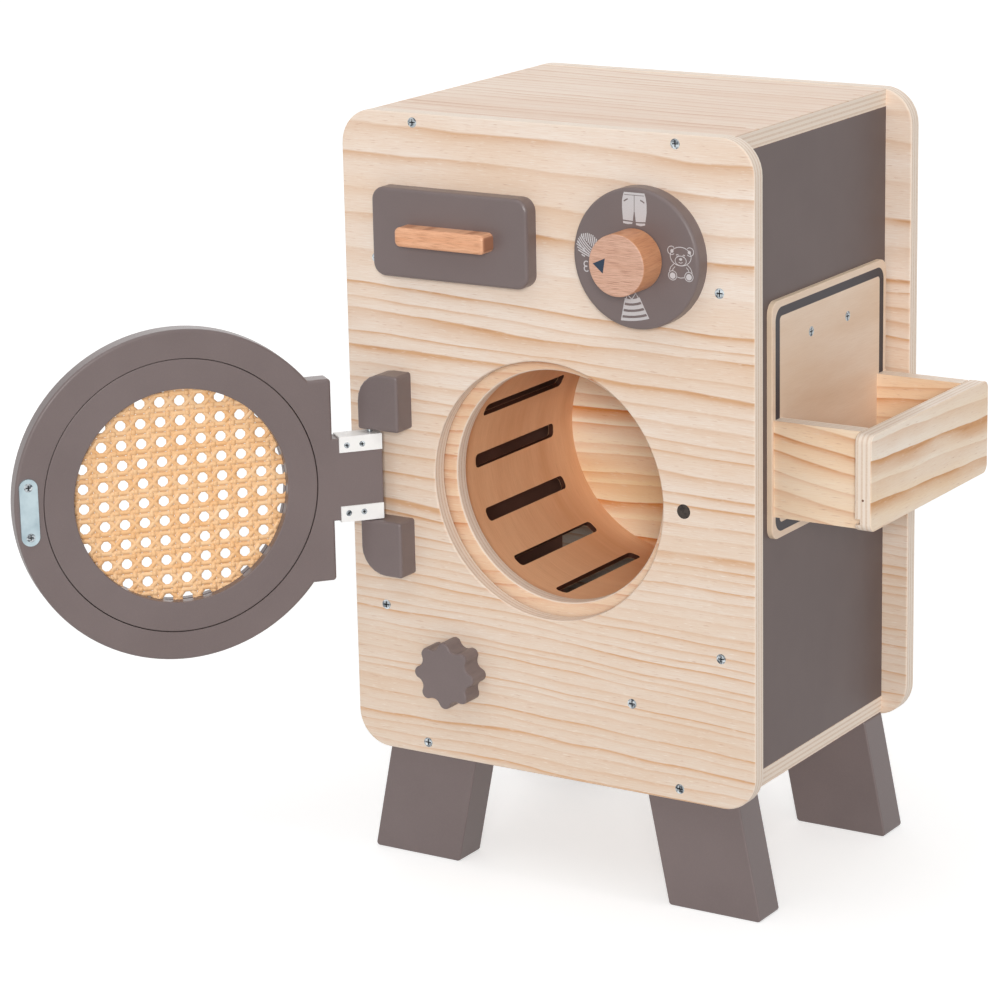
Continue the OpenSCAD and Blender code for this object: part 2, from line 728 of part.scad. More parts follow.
// Places a revolved drum piece, its own z along the drum's axis
module on_drum(y) cabinet() translate([0, y, opening_height]) rotate([-90, 0, 0]) children();

module drum_front_ring() color(pine) on_drum(drum_start)
    soft_ring(ring_hole_radius, ring_outer, drum_board, ring_round);

// Bent-plywood shell with long round-ended slots at an even pitch
module drum_shell() color(peach_ply) on_drum(0) difference() {
    translate([0, 0, shell_start]) cylinder(h = drum_depth, r = shell_outer);
    translate([0, 0, shell_start - 1]) cylinder(h = drum_depth + 2, r = shell_radius);
    for (turn = [0 : slot_count - 1]) rotate([0, 0, 180 + turn * 360 / slot_count])
        translate([shell_radius - 4, 0, slot_middle]) rotate([0, 90, 0])
            linear_extrude(height = shell_thickness + 8) {
                square([slot_length - 2 * slot_corner, slot_width], center = true);
                square([slot_length, slot_width - 2 * slot_corner], center = true);
                for (x = [-1, 1]) for (y = [-1, 1])
                    translate([x * (slot_length / 2 - slot_corner), y * (slot_width / 2 - slot_corner)])
                        circle(r = slot_corner, $fn = 24);
            }
}

module axle_screw_places() for (turn = [45 : 90 : 315]) rotate([0, 0, turn])
    translate([flange_screw_circle, 0, disc_end + flange_thickness]) children();

module drum_back_disc() color(pine) on_drum(0) difference() {
    translate([0, 0, disc_start]) puck_fine(ring_outer, drum_board, 1);
    axle_screw_places() screw_hole(small_length, small_head, small_shank);
}

module drum_axle() color(zinc) on_drum(0) difference() {
    union() {
        translate([0, 0, disc_end]) cylinder(h = flange_thickness, r = flange_radius);
        translate([0, 0, disc_end + 1])
            cylinder(h = nut_start + nut_height + 0.8 - disc_end - 1, r = axle_radius);
    }
    axle_screw_places() screw_hole(small_length, small_head, small_shank);
}

module drum_axle_screws() color(zinc) on_drum(0)
    axle_screw_places() screw(small_length, small_head, small_shank);

// Washer and thin nut in the pocket at the back
module drum_lock_nut() color(zinc) on_drum(0) {
    translate([0, 0, nut_seat + slide_gap]) difference() {
        cylinder(h = washer_thickness, r = nut_circle + 1.2);
        translate([0, 0, -1]) cylinder(h = washer_thickness + 2, r = axle_radius + nut_fit);
    }
    translate([0, 0, nut_start + 0.02]) difference() {
        cylinder(h = nut_height, r = nut_circle, $fn = 6);
        translate([0, 0, -1]) cylinder(h = nut_height + 2, r = axle_radius + nut_fit);
    }
}

module drum_bearing_block() color(pine) cabinet() difference() {
    translate([-bearing_width / 2, bearing_start, opening_height - bearing_width / 2])
        cube([bearing_width, bearing_thickness, bearing_width]);
    along_y(0, opening_height) translate([0, 0, bearing_start - 1])
        cylinder(h = bearing_thickness + 2, r = axle_radius + running_fit);
}

module dial_plate() color(taupe) cabinet() translate([dial_x, 0, dial_z]) rotate([90, 0, 0]) difference() {
    rotate_extrude() polygon(concat(
        [[0, 0], [dial_radius, 0]],
        arc(dial_radius - plate_round, dial_thickness - plate_round, plate_round, 0, 90),
        [[0, dial_thickness]]
    ));
    translate([0, 0, -1]) cylinder(h = dial_thickness + 2, r = bolt_radius + running_fit);
}

module dial_knob() color(beech) cabinet()
    translate([dial_x, -dial_thickness - slide_gap, dial_z]) rotate([90, 0, 0]) difference() {
        puck_fine(knob_radius, knob_length - slide_gap, 1);
        translate([0, 0, -1]) cylinder(h = knob_bore + 1, r = bolt_radius + running_fit);
    }

// Bolt through the front panel, its flat round head inside the cabinet
module knob_bolt(x, z, reach) translate([x, panel_thickness + slide_gap, z]) rotate([90, 0, 0]) {
    translate([0, 0, -bolt_head_height]) cylinder(h = bolt_head_height, r = bolt_head_radius);
    translate([0, 0, -1]) cylinder(h = reach + 1, r = bolt_radius);
}

module dial_bolt() color(zinc) cabinet()
    knob_bolt(dial_x, dial_z, panel_thickness + dial_thickness + knob_bore);

// Cutter that slopes the filter knob's front rim along its outline
module lobed_rim(drop, inset) difference() {
    translate([0, 0, filter_height - 1.5 * drop]) cylinder(h = 2 * drop, r = filter_radius + 2);
    translate([0, 0, filter_height - 2 * drop])
        linear_extrude(height = 3 * drop, scale = (filter_radius - 2 * inset) / (filter_radius + inset))
            polygon([for (p = lobed_outline) p * (1 + inset / filter_radius)]);
}

module filter_knob() color(taupe) cabinet()
    translate([-filter_x, -slide_gap, filter_z]) rotate([90, 0, 0]) difference() {
        linear_extrude(height = filter_height) polygon(lobed_outline);
        lobed_rim(filter_rim, 0.28 * filter_rim);
        lobed_rim(0.28 * filter_rim, filter_rim);
        translate([0, 0, -1]) cylinder(h = filter_bore + 1, r = bolt_radius + running_fit);
    }

module filter_bolt() color(zinc) cabinet() knob_bolt(-filter_x, filter_z, panel_thickness + filter_bore);

// Screws through the drawer front into the handle
module handle_screw_places() for (side = [-1, 1])
    translate([-drawer_x + side * handle_screw_reach, 0, drawer_z]) rotate([-90, 0, 0]) children();

module drawer_front() color(taupe) cabinet() difference() {
    translate([-drawer_x, 0, drawer_z]) rotate([90, 0, 0])
        soft_board(drawer_front_width, drawer_front_height, drawer_front_thickness, drawer_front_corner,
            0, plate_round);
    handle_screw_places() screw_hole(handle_screw_length);
}

module drawer_handle() color(beech) cabinet() difference() {
    translate([-drawer_x, -drawer_front_thickness, drawer_z]) rotate([90, 0, 0])
        soft_board(handle_width, handle_height, handle_depth, handle_corner, 0, handle_round);
    handle_screw_places() screw_hole(handle_screw_length);
}

module handle_screws() color(zinc) cabinet() handle_screw_places() screw(handle_screw_length);

module drawer_left_wall() color(pine) cabinet() translate([box_left, 0, box_base])
    cube([drawer_wall, drawer_length, box_height]);

module drawer_right_wall() color(pine) cabinet() translate([box_left + box_width - drawer_wall, 0, box_base])
    cube([drawer_wall, drawer_length, box_height]);

module drawer_back_wall() color(pine) cabinet()
    translate([box_left + drawer_wall, drawer_length - drawer_wall, box_base])
        cube([box_width - 2 * drawer_wall, drawer_wall, box_height]);

module drawer_bottom() color(peach_ply) cabinet() translate([box_left + drawer_wall, 0, box_base])
    cube([box_width - 2 * drawer_wall, drawer_length - drawer_wall, drawer_floor]);

// Angle-shaped wooden runner under and beside one drawer wall, from panel to panel
module runner(side) translate([-drawer_x, inner_end, 0]) rotate([90, 0, 0]) mirror([side < 0 ? 1 : 0, 0, 0])
    linear_extrude(height = inner_depth) polygon([
        [drawer_cut_width / 2 - runner_ledge, cut_base - runner_thickness],
        [drawer_cut_width / 2 + runner_thickness, cut_base - runner_thickness],
        [drawer_cut_width / 2 + runner_thickness, cut_base + runner_rise],
        [drawer_cut_width / 2, cut_base + runner_rise],
        [drawer_cut_width / 2, cut_base], [drawer_cut_width / 2 - runner_ledge, cut_base]
    ]);

module left_drawer_runner() color(pine) cabinet() runner(-1);
module right_drawer_runner() color(pine) cabinet() runner(1);

module tray_screw_places() for (y = tray_screw_spots)
    translate([tray_face, y, tray_plate_base + tray_plate_height - tray_screw_drop])
        rotate([0, 90, 0]) children();

module tray_back_plate() color(peach_ply) cabinet() difference() {
    translate([side_face, tray_plate_start + tray_plate_width / 2, tray_plate_base + tray_plate_height / 2])
        rotate([90, 0, 90])
            soft_board(tray_plate_width, tray_plate_height, tray_sheet, tray_plate_corner, 0, 0.8);
    tray_screw_places() screw_hole(tray_screw_length);
}

// Sheet that closes the tray's underside, let into grooves in the three walls
module tray_floor_sheet(fit)
    translate([tray_face, tray_near + tray_wall - tray_groove - fit, tray_floor - fit]) cube([
        tray_reach + tray_groove + fit,
        tray_far - tray_near - 2 * (tray_wall - tray_groove) + 2 * fit,
        tray_sheet + 2 * fit
    ]);

module tray_side_wall(y) color(pine) cabinet() difference() {
    translate([tray_face, y, tray_base]) cube([tray_reach, tray_wall, tray_height]);
    tray_floor_sheet(running_fit);
}

module tray_near_wall() tray_side_wall(tray_near);
module tray_far_wall() tray_side_wall(tray_far - tray_wall);

module tray_outer_board() color(pine) cabinet() difference() {
    translate([tray_board_start, (tray_near + tray_far) / 2, tray_base + tray_height / 2])
        rotate([90, 0, 90])
            soft_board(tray_far - tray_near + 2 * tray_ear, tray_height - tray_board_drop, tray_wall,
                tray_board_corner, 0.8, 0.8);
    translate([tray_board_start - 1, tray_near - tray_ear - 1, tray_floor - running_fit])
        cube([tray_groove + 1 + running_fit, tray_far - tray_near + 2 * tray_ear + 2,
            tray_sheet + 2 * running_fit]);
}

module tray_bottom() color(peach_ply) cabinet() tray_floor_sheet(0);
module tray_screws() color(zinc) cabinet() tray_screw_places() screw(tray_screw_length);

front_panel();
back_panel();
top_panel();
bottom_panel();
left_side_panel();
right_side_panel();
front_left_leg();
front_right_leg();
rear_left_leg();
rear_right_leg();
leg_screws();
front_screws();
rear_screws();
lower_front_screw();
top_plugs();
door_magnet();
upper_hinge_block();
lower_hinge_block();
hinge_block_screws();
hinge_pins();
door_frame();
door_inner_ring();
cane_webbing();
upper_hinge_bracket();
lower_hinge_bracket();
bracket_screws();
strike_plate();
strike_plate_screws();
drum_front_ring();
drum_shell();
drum_back_disc();
drum_axle();
drum_axle_screws();
drum_lock_nut();
drum_bearing_block();
dial_plate();
dial_knob();
dial_bolt();
filter_knob();
filter_bolt();
drawer_front();
drawer_handle();
handle_screws();
drawer_left_wall();
drawer_right_wall();
drawer_back_wall();
drawer_bottom();
left_drawer_runner();
right_drawer_runner();
tray_back_plate();
tray_near_wall();
tray_far_wall();
tray_outer_board();
tray_bottom();
tray_screws();
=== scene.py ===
import math
import random
import bpy
import bmesh
from mathutils import Matrix, Vector


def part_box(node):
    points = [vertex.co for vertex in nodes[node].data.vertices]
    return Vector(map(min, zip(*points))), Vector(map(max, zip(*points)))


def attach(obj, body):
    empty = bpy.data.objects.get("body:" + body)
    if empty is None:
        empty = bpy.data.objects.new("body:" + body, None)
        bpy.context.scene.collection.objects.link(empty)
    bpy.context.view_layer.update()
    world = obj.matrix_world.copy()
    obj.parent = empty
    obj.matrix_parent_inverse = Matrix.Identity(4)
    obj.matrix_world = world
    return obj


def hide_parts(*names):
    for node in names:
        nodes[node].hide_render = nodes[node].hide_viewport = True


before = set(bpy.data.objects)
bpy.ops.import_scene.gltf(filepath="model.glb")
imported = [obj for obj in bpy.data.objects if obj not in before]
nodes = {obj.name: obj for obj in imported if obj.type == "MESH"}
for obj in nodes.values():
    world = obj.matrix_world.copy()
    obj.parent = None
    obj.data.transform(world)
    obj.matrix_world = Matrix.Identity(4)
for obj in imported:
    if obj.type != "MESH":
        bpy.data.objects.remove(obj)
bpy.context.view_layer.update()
print("cad loaded,", len(nodes), "nodes")

# Places are given in millimetres from the middle of the front panel's lower edge.
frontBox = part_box("front_panel")
middleX = (frontBox[0][0] + frontBox[1][0]) / 2
middleY = frontBox[0][1]
middleZ = frontBox[0][2]


def spot(x, y, z):
    return Vector((middleX + x / 1000, middleY + y / 1000, middleZ + z / 1000))


def screenColour(red, green, blue):  # 0 to 255 on the screen, returned as linear light
    parts = []
    for value in (red / 255, green / 255, blue / 255):
        parts.append(value / 12.92 if value <= 0.04045 else ((value + 0.055) / 1.055) ** 2.4)
    return (parts[0], parts[1], parts[2], 1)


def startMaterial(name, roughness, metallic=0.0, specular=0.5):
    material = bpy.data.materials.new(name)
    material.use_nodes = True
    tree = material.node_tree
    shader = tree.nodes["Principled BSDF"]
    shader.inputs["Roughness"].default_value = roughness
    shader.inputs["Metallic"].default_value = metallic
    shader.inputs["Specular IOR Level"].default_value = specular
    return material, tree, shader


def put(tree, kind, settings, inputs):  # adds a node; an input is a value or another node's socket
    item = tree.nodes.new(kind)
    for key, value in settings.items():
        setattr(item, key, value)
    for key, value in inputs.items():
        if isinstance(value, bpy.types.NodeSocket):
            tree.links.new(value, item.inputs[key])
        else:
            item.inputs[key].default_value = value
    return item


def calc(tree, operation, first, second=0.0, third=0.0):
    return put(tree, "ShaderNodeMath", {"operation": operation}, {0: first, 1: second, 2: third}).outputs[0]


def limited(tree, value, low, high, newLow=0.0, newHigh=1.0):  # maps low..high to newLow..newHigh, clamped
    ends = {0: value, 1: low, 2: high, 3: newLow, 4: newHigh}
    return put(tree, "ShaderNodeMapRange", {"clamp": True}, ends).outputs[0]


def comesIn(tree, noise, levels, amount=1.0):  # grows from nothing to amount between two levels of a noise
    return limited(tree, noise, levels[0], levels[1], 0.0, amount)


def mixColours(tree, factor, low, high):
    # from the low colour to the high one as factor goes from 0 to 1; 6 and 7 are the node's colour inputs
    return put(tree, "ShaderNodeMix", {"data_type": "RGBA"}, {0: factor, 6: low, 7: high}).outputs[2]


def noiseOf(tree, vector, scale, detail=2.0, roughness=0.5):
    settings = {"Vector": vector, "Scale": scale, "Detail": detail, "Roughness": roughness}
    return put(tree, "ShaderNodeTexNoise", {}, settings).outputs[0]


def combined(tree, x, y, z):  # a vector of three values
    return put(tree, "ShaderNodeCombineXYZ", {}, {0: x, 1: y, 2: z}).outputs[0]


def stretched(tree, lengthways, sideways, scales, seed, detail=2.0, roughness=0.5):
    # noise drawn out along the grain: the scales are changes per millimetre, lengthways and sideways
    vector = combined(tree, calc(tree, "MULTIPLY", lengthways, scales[0]),
        calc(tree, "MULTIPLY", sideways, scales[1]), seed)
    return noiseOf(tree, vector, 1.0, detail, roughness)


def rampOf(tree, factor, pairs):  # a curve through (place, amount) pairs
    item = tree.nodes.new("ShaderNodeValToRGB")
    elements = item.color_ramp.elements
    stops = [(position, (value, value, value, 1)) for position, value in pairs]
    elements[0].position, elements[0].color = stops[0]
    elements[1].position, elements[1].color = stops[-1]
    for position, value in stops[1:-1]:
        elements.new(position).color = value
    tree.links.new(factor, item.inputs[0])
    return item.outputs[0]


def objectPlace(tree):
    return put(tree, "ShaderNodeTexCoord", {}, {}).outputs["Object"]


def objectParts(tree):  # object coordinates in millimetres
    parts = put(tree, "ShaderNodeSeparateXYZ", {}, {0: objectPlace(tree)})
    return [calc(tree, "MULTIPLY", parts.outputs[i], 1000.0) for i in range(3)]


def addBump(tree, shader, height, strength, distance):
    item = put(tree, "ShaderNodeBump", {}, {"Height": height, "Strength": strength, "Distance": distance})
    tree.links.new(item.outputs[0], shader.inputs["Normal"])


def boxOf(node):  # a node's low and high corners, in millimetres
    low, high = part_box(node)
    return [value * 1000 for value in low], [value * 1000 for value in high]


def dress(material, *names):  # gives CAD nodes a material
    for name in names:
        for holder in nodes[name].material_slots:
            holder.material = material
        if not nodes[name].material_slots:
            nodes[name].data.materials.append(material)


axisIndex = {"x": 0, "y": 1, "z": 2}

# What a user may change about each wood. Lengths are in millimetres. Below each height of "denser", measured
# from the floor, there are that many more rings per millimetre. "fade" names the curve by which a ring
# darkens towards its line. A tall board takes on its "low" colour towards its lower edge: painted shade, for
# the light that falls off towards the floor.
woods = {
    "front": {
        "pale": (250, 238, 227), "warm": (243, 221, 201), "line": (217, 172, 132), "streak": (184, 124, 84),
        "spacing": 24.0, "denser": [(418.0, 0.050), (262.0, 0.045)], "wander": 9.0, "slope": 0.03,
        "fade": "narrow", "lines": 1.3, "flecks": 0.7, "glints": 0.45, "fibres": 0.36,
        # the "low" colour is painted shade: a greyer, darker tone towards the board's lower edge, where less
        # light falls
        "low": (222, 206, 189),
    },
    "plain": {
        "pale": (242, 224, 207), "warm": (233, 207, 186), "line": (210, 166, 132), "streak": (190, 132, 96),
        "spacing": 11.0, "denser": [], "wander": 9.0, "slope": 0.02,
        "fade": "narrow", "lines": 1.15, "flecks": 0.6, "glints": 0.4, "fibres": 0.3,
    },
    "red": {
        "pale": (245, 223, 198), "warm": (238, 203, 168), "line": (214, 144, 98), "streak": (180, 88, 52),
        "spacing": 10.0, "denser": [], "wander": 8.0, "slope": -0.05,
        "fade": "narrow", "lines": 1.2, "flecks": 0.95, "glints": 0.4, "fibres": 0.3,
    },
    "disc": {
        "pale": (254, 248, 228), "warm": (252, 228, 186), "line": (222, 152, 88), "streak": (182, 88, 42),
        "spacing": 12.0, "denser": [], "wander": 8.0, "slope": -0.05,
        "fade": "broad", "lines": 1.2, "flecks": 1.0, "glints": 0.4, "fibres": 0.14,
    },
    "bold": {
        "pale": (254, 243, 229), "warm": (250, 225, 194), "line": (212, 156, 104), "streak": (172, 106, 62),
        "spacing": 17.0, "denser": [], "wander": 10.0, "slope": 0.05,
        "fade": "broad", "lines": 1.3, "flecks": 0.6, "glints": 0.3, "fibres": 0.2,
    },
    "amber": {
        "pale": (252, 233, 208), "warm": (248, 213, 174), "line": (214, 150, 98), "streak": (166, 94, 54),
        "spacing": 12.0, "denser": [], "wander": 9.0, "slope": 0.1,
        "fade": "narrow", "lines": 1.15, "flecks": 0.8, "glints": 0.3, "fibres": 0.22,
    },
}
fades = {
    "narrow": [(0.0, 0.0), (0.35, 0.07), (0.65, 0.25), (0.84, 0.7), (0.93, 1.0), (0.975, 0.4), (1.0, 0.0)],
    "broad": [(0.0, 0.0), (0.22, 0.1), (0.45, 0.42), (0.7, 0.62), (0.88, 0.88), (0.955, 1.0), (1.0, 0.0)],
}
glint = (252, 243, 233)
lowShadeRange = {"bottom": 40.0, "top": 420.0, "amount": 0.55}  # millimetres above the front panel's lower edge, over which the painted shade fades out
# Plies show on the edges, past a "depth" of so many millimetres from a face. "speck" is in changes per metre.
plies = {
    "pale": (245, 231, 217), "dark": (224, 200, 178), "glue": (184, 156, 132), "layers": 7,
    "depth": (0.25, 0.6), "glueAmount": 0.45, "speck": 900.0, "speckled": 0.45,
}
plyCurve = [(0.0, 0.0), (0.4, 0.08), (0.6, 0.9), (1.0, 1.0)]
glueCurve = [(0.0, 0.0), (0.43, 0.0), (0.5, 1.0), (0.57, 0.0), (1.0, 0.0)]
# How often each part of the grain changes per millimetre, along the board and across it.
grain = {
    "slow": (0.0045, 0.012), "quick": (0.02, 0.07), "patch": (0.009, 0.04), "tint": (0.005, 0.03),
    "bite": (0.03, 0.5), "fibre": (0.05, 2.0), "dash": (0.1, 1.2), "bright": (0.12, 1.1),
}
# The noise levels between which each of these comes in, and for a patch also the strengths it runs between.
onset = {
    "patch": (0.32, 0.62, 0.4, 1.2), "tint": (0.35, 0.68), "bite": (0.45, 0.7), "fibre": (0.35, 0.75),
    "dash": (0.63, 0.78), "bright": (0.6, 0.74),
}
# A ring's quick wobble in millimetres, how often and how much the rings' widths vary, how faint the faintest
# ring is, and the strengths between which a ring's dark core shows.
rings = {"wobble": 3.0, "unevenEvery": 0.6, "uneven": 1.3, "faintest": 0.3, "core": (0.62, 1.05)}
# The wood's sheen between its smoothest and its roughest fibres, and how deep its fibres and rings are felt.
boardFinish = {"roughness": (0.42, 0.56), "specular": 0.35, "relief": 0.22, "ringRelief": -0.4}


def boardMaterial(name, look, along, across, through, span, seed, slope=None):
    # along, across and through name the board's axes; span holds its two faces on the last, in millimetres
    wood = woods[look]
    material, tree, shader = startMaterial(name, roughness=0.5, specular=boardFinish["specular"])
    parts = objectParts(tree)
    lengthways = calc(tree, "ADD", parts[axisIndex[along]], seed * 311.0)  # each board is cut from elsewhere
    sideways = parts[axisIndex[across]]
    depth = parts[axisIndex[through]]

    def figure(kind, side, shift, detail=2.0, roughness=0.5):
        return stretched(tree, lengthways, side, grain[kind], shift, detail, roughness)

    # the height a point has in the log: its place across the board, bent by the wander of the rings
    slow = figure("slow", sideways, seed * 1.7)
    quick = figure("quick", sideways, seed * 2.3)
    ring = calc(tree, "MULTIPLY_ADD", calc(tree, "SUBTRACT", slow, 0.5), wood["wander"] * 2, sideways)
    ring = calc(tree, "MULTIPLY_ADD", calc(tree, "SUBTRACT", quick, 0.5), rings["wobble"], ring)
    tilt = wood["slope"] if slope is None else slope
    ring = calc(tree, "MULTIPLY_ADD", parts[axisIndex[along]], tilt, ring)
    phase = calc(tree, "DIVIDE", ring, wood["spacing"])
    for level, more in wood["denser"]:
        below = calc(tree, "MAXIMUM", calc(tree, "SUBTRACT", level, ring), 0.0)
        phase = calc(tree, "MULTIPLY_ADD", below, -more, phase)
    # uneven years: some rings are wider than others
    slower = calc(tree, "MULTIPLY", phase, rings["unevenEvery"])
    uneven = noiseOf(tree, combined(tree, 0.0, slower, seed * 3.1), 1.0, 1.0)
    phase = calc(tree, "MULTIPLY_ADD", uneven, rings["uneven"], phase)
    band = rampOf(tree, calc(tree, "FRACT", phase), fades[wood["fade"]])
    # some rings are strong and some hardly show, and each comes and goes along its length
    year = calc(tree, "FLOOR", phase)
    chance = put(tree, "ShaderNodeTexWhiteNoise", {"noise_dimensions": "1D"}, {"W": year}).outputs[0]
    strong = limited(tree, chance, 0.0, 1.0, rings["faintest"], 1.0)
    patch = figure("patch", ring, seed * 5.3)
    strength = calc(tree, "MULTIPLY", strong, limited(tree, patch, *onset["patch"]))
    ringLine = calc(tree, "MULTIPLY", band, strength)
    lineAmount = calc(tree, "MULTIPLY", ringLine, wood["lines"])
    tint = comesIn(tree, figure("tint", ring, seed * 7.9), onset["tint"])
    base = mixColours(tree, tint, screenColour(*wood["pale"]), screenColour(*wood["warm"]))
    # painted shade: the board darkens towards its lower edge, where less light falls
    if "low" in wood:
        bottom = middleZ * 1000 + lowShadeRange["bottom"]
        top = middleZ * 1000 + lowShadeRange["top"]
        lower = limited(tree, sideways, bottom, top, lowShadeRange["amount"], 0.0)
        base = mixColours(tree, lower, base, screenColour(*wood["low"]))
    base = mixColours(tree, lineAmount, base, screenColour(*wood["line"]))
    # the darkest part of a strong ring turns to the streak colour in places
    core = comesIn(tree, ringLine, rings["core"])
    bite = comesIn(tree, figure("bite", sideways, seed * 9.1), onset["bite"])
    streaked = calc(tree, "MULTIPLY", calc(tree, "MULTIPLY", core, bite), wood["flecks"])
    base = mixColours(tree, streaked, base, screenColour(*wood["streak"]))
    # fine fibres, short dark pores and short pale glints
    fibre = figure("fibre", sideways, seed, 3.0, 0.6)
    fine = comesIn(tree, fibre, onset["fibre"], wood["fibres"])
    base = mixColours(tree, fine, base, screenColour(*wood["line"]))
    dash = comesIn(tree, figure("dash", sideways, seed + 4.0), onset["dash"], 0.5)
    base = mixColours(tree, dash, base, screenColour(*wood["streak"]))
    bright = comesIn(tree, figure("bright", sideways, seed + 8.0), onset["bright"], wood["glints"])
    base = mixColours(tree, bright, base, screenColour(*glint))
    # plies on the edges
    low, high = span
    fromFace = calc(tree, "MINIMUM", calc(tree, "SUBTRACT", depth, low), calc(tree, "SUBTRACT", high, depth))
    isEdge = limited(tree, fromFace, *plies["depth"])
    layer = calc(tree, "MULTIPLY", calc(tree, "SUBTRACT", depth, low), plies["layers"] / (high - low))
    plyDark = rampOf(tree, calc(tree, "PINGPONG", layer, 1.0), plyCurve)
    speck = noiseOf(tree, objectPlace(tree), plies["speck"], 2.0, 0.7)
    plyAmount = calc(tree, "MULTIPLY", plyDark, limited(tree, speck, 0.3, 0.7, plies["speckled"], 1.0))
    edge = mixColours(tree, plyAmount, screenColour(*plies["pale"]), screenColour(*plies["dark"]))
    glue = rampOf(tree, calc(tree, "FRACT", calc(tree, "ADD", layer, 0.5)), glueCurve)
    glueAmount = calc(tree, "MULTIPLY", glue, plies["glueAmount"])
    edge = mixColours(tree, glueAmount, edge, screenColour(*plies["glue"]))
    tree.links.new(mixColours(tree, isEdge, base, edge), shader.inputs["Base Color"])
    tree.links.new(limited(tree, fibre, 0.3, 0.7, *boardFinish["roughness"]), shader.inputs["Roughness"])
    height = calc(tree, "MULTIPLY_ADD", lineAmount, boardFinish["ringRelief"], fibre)
    addBump(tree, shader, height, strength=boardFinish["relief"], distance=0.0004)
    return material


def edgeSpan(node, axis):  # the two faces of a board, in millimetres
    low, high = boxOf(node)
    return low[axisIndex[axis]], high[axisIndex[axis]]


boards = [
    # node, look, grain along, across, through, seed, slope of the rings if not the wood's own
    ("front_panel", "front", "x", "z", "y", 1, None),
    ("back_panel", "front", "x", "z", "y", 2, None),
    ("top_panel", "plain", "x", "y", "z", 3, 0.05),
    ("bottom_panel", "plain", "x", "y", "z", 4, None),
    ("drum_front_ring", "red", "x", "z", "y", 5, None),
    ("drum_back_disc", "disc", "x", "z", "y", 6, None),
    ("drum_bearing_block", "plain", "x", "z", "y", 7, None),
    ("drawer_left_wall", "plain", "y", "z", "x", 8, None),
    ("drawer_right_wall", "plain", "y", "z", "x", 9, None),
    ("drawer_back_wall", "plain", "x", "z", "y", 10, None),
    ("left_drawer_runner", "plain", "y", "z", "x", 11, None),
    ("right_drawer_runner", "plain", "y", "z", "x", 12, None),
    ("tray_near_wall", "amber", "x", "z", "y", 13, 0.16),
    ("tray_far_wall", "amber", "x", "z", "y", 14, -0.1),
    ("tray_outer_board", "bold", "y", "z", "x", 15, 0.05),
    ("top_plugs", "plain", "x", "y", "z", 16, None),
]
for node, look, along, across, through, seed, slope in boards:
    title = node.replace("_", " ") + " pine"
    dress(boardMaterial(title, look, along, across, through, edgeSpan(node, through), seed, slope), node)
print("pine boards dressed")

veneers = {
    "drum": {"pale": (246, 198, 156), "dark": (226, 170, 126), "fleck": (184, 120, 82), "cut": (78, 46, 34)},
    "sheet": {"pale": (240, 219, 199), "dark": (230, 202, 176), "fleck": (208, 172, 142)},
}
veneerGrain = {"cloud": (0.007, 0.03), "fibre": (0.06, 1.6), "pores": (0.25, 2.4)}
veneerOnset = {"cloud": (0.32, 0.68), "fibre": (0.4, 0.75), "pores": (0.62, 0.78)}
veneerAmount = {"fibre": 0.22, "pores": 0.3}
# Millimetres. Between these depths from each face of the shell, the veneer gives way to a slot's dark cut.
shell = {"wall": 4.0, "outside": (0.1, 0.2), "inside": (0.05, 0.15)}


def veneerMaterial(name, look, along, across, seed):
    # smooth rotary-cut veneer: a soft cloudy figure and tiny pores
    tones = veneers[look]
    material, tree, shader = startMaterial(name, roughness=0.46, specular=0.35)
    parts = objectParts(tree)
    lengthways = parts[axisIndex[along]]
    sideways = parts[axisIndex[across]]
    cloud = stretched(tree, lengthways, sideways, veneerGrain["cloud"], seed, 3.0, 0.55)
    fibre = stretched(tree, lengthways, sideways, veneerGrain["fibre"], seed + 3.0, 3.0, 0.6)
    pores = stretched(tree, lengthways, sideways, veneerGrain["pores"], seed + 5.0)
    base = mixColours(tree, comesIn(tree, cloud, veneerOnset["cloud"]), screenColour(*tones["pale"]),
        screenColour(*tones["dark"]))
    for noise, kind in ((fibre, "fibre"), (pores, "pores")):
        factor = comesIn(tree, noise, veneerOnset[kind], veneerAmount[kind])
        base = mixColours(tree, factor, base, screenColour(*tones["fleck"]))
    tree.links.new(base, shader.inputs["Base Color"])
    addBump(tree, shader, fibre, strength=0.12, distance=0.0003)
    return material, tree, shader, base, parts


def drumMaterial():
    # bent veneer, scorched where the slots are cut through it
    material, tree, shader, base, parts = veneerMaterial("drum shell bent ply", "drum", "z", "y", 1.0)
    low, high = boxOf("drum_shell")
    aside = calc(tree, "SUBTRACT", parts[0], (low[0] + high[0]) / 2)
    above = calc(tree, "SUBTRACT", parts[2], (low[2] + high[2]) / 2)
    squared = calc(tree, "MULTIPLY_ADD", aside, aside, calc(tree, "MULTIPLY", above, above))
    inwards = calc(tree, "SUBTRACT", (high[0] - low[0]) / 2, calc(tree, "SQRT", squared))
    pastOutside = limited(tree, inwards, *shell["outside"])
    thin, thick = shell["inside"]
    beforeInside = limited(tree, inwards, shell["wall"] - thick, shell["wall"] - thin, 1.0, 0.0)
    isCut = calc(tree, "MULTIPLY", pastOutside, beforeInside)
    scorched = mixColours(tree, isCut, base, screenColour(*veneers["drum"]["cut"]))
    tree.links.new(scorched, shader.inputs["Base Color"])
    return material


dress(drumMaterial(), "drum_shell")
dress(veneerMaterial("drawer bottom ply", "sheet", "y", "x", 2.0)[0], "drawer_bottom")
dress(veneerMaterial("tray bottom ply", "sheet", "y", "x", 3.0)[0], "tray_bottom")

# Lengths in millimetres. The stripe is painted on the plate's face only, and ends between its two depths.
trayStripe = {
    "inset": 4.7, "width": 6.3, "corner": 14.0, "soft": 0.1, "depth": (0.5, 0.3), "colour": (58, 53, 58),
}
trayEdge = {"corner": 8.5, "width": (0.05, 0.5), "amount": 0.6, "colour": (236, 214, 186)}  # its paler rim


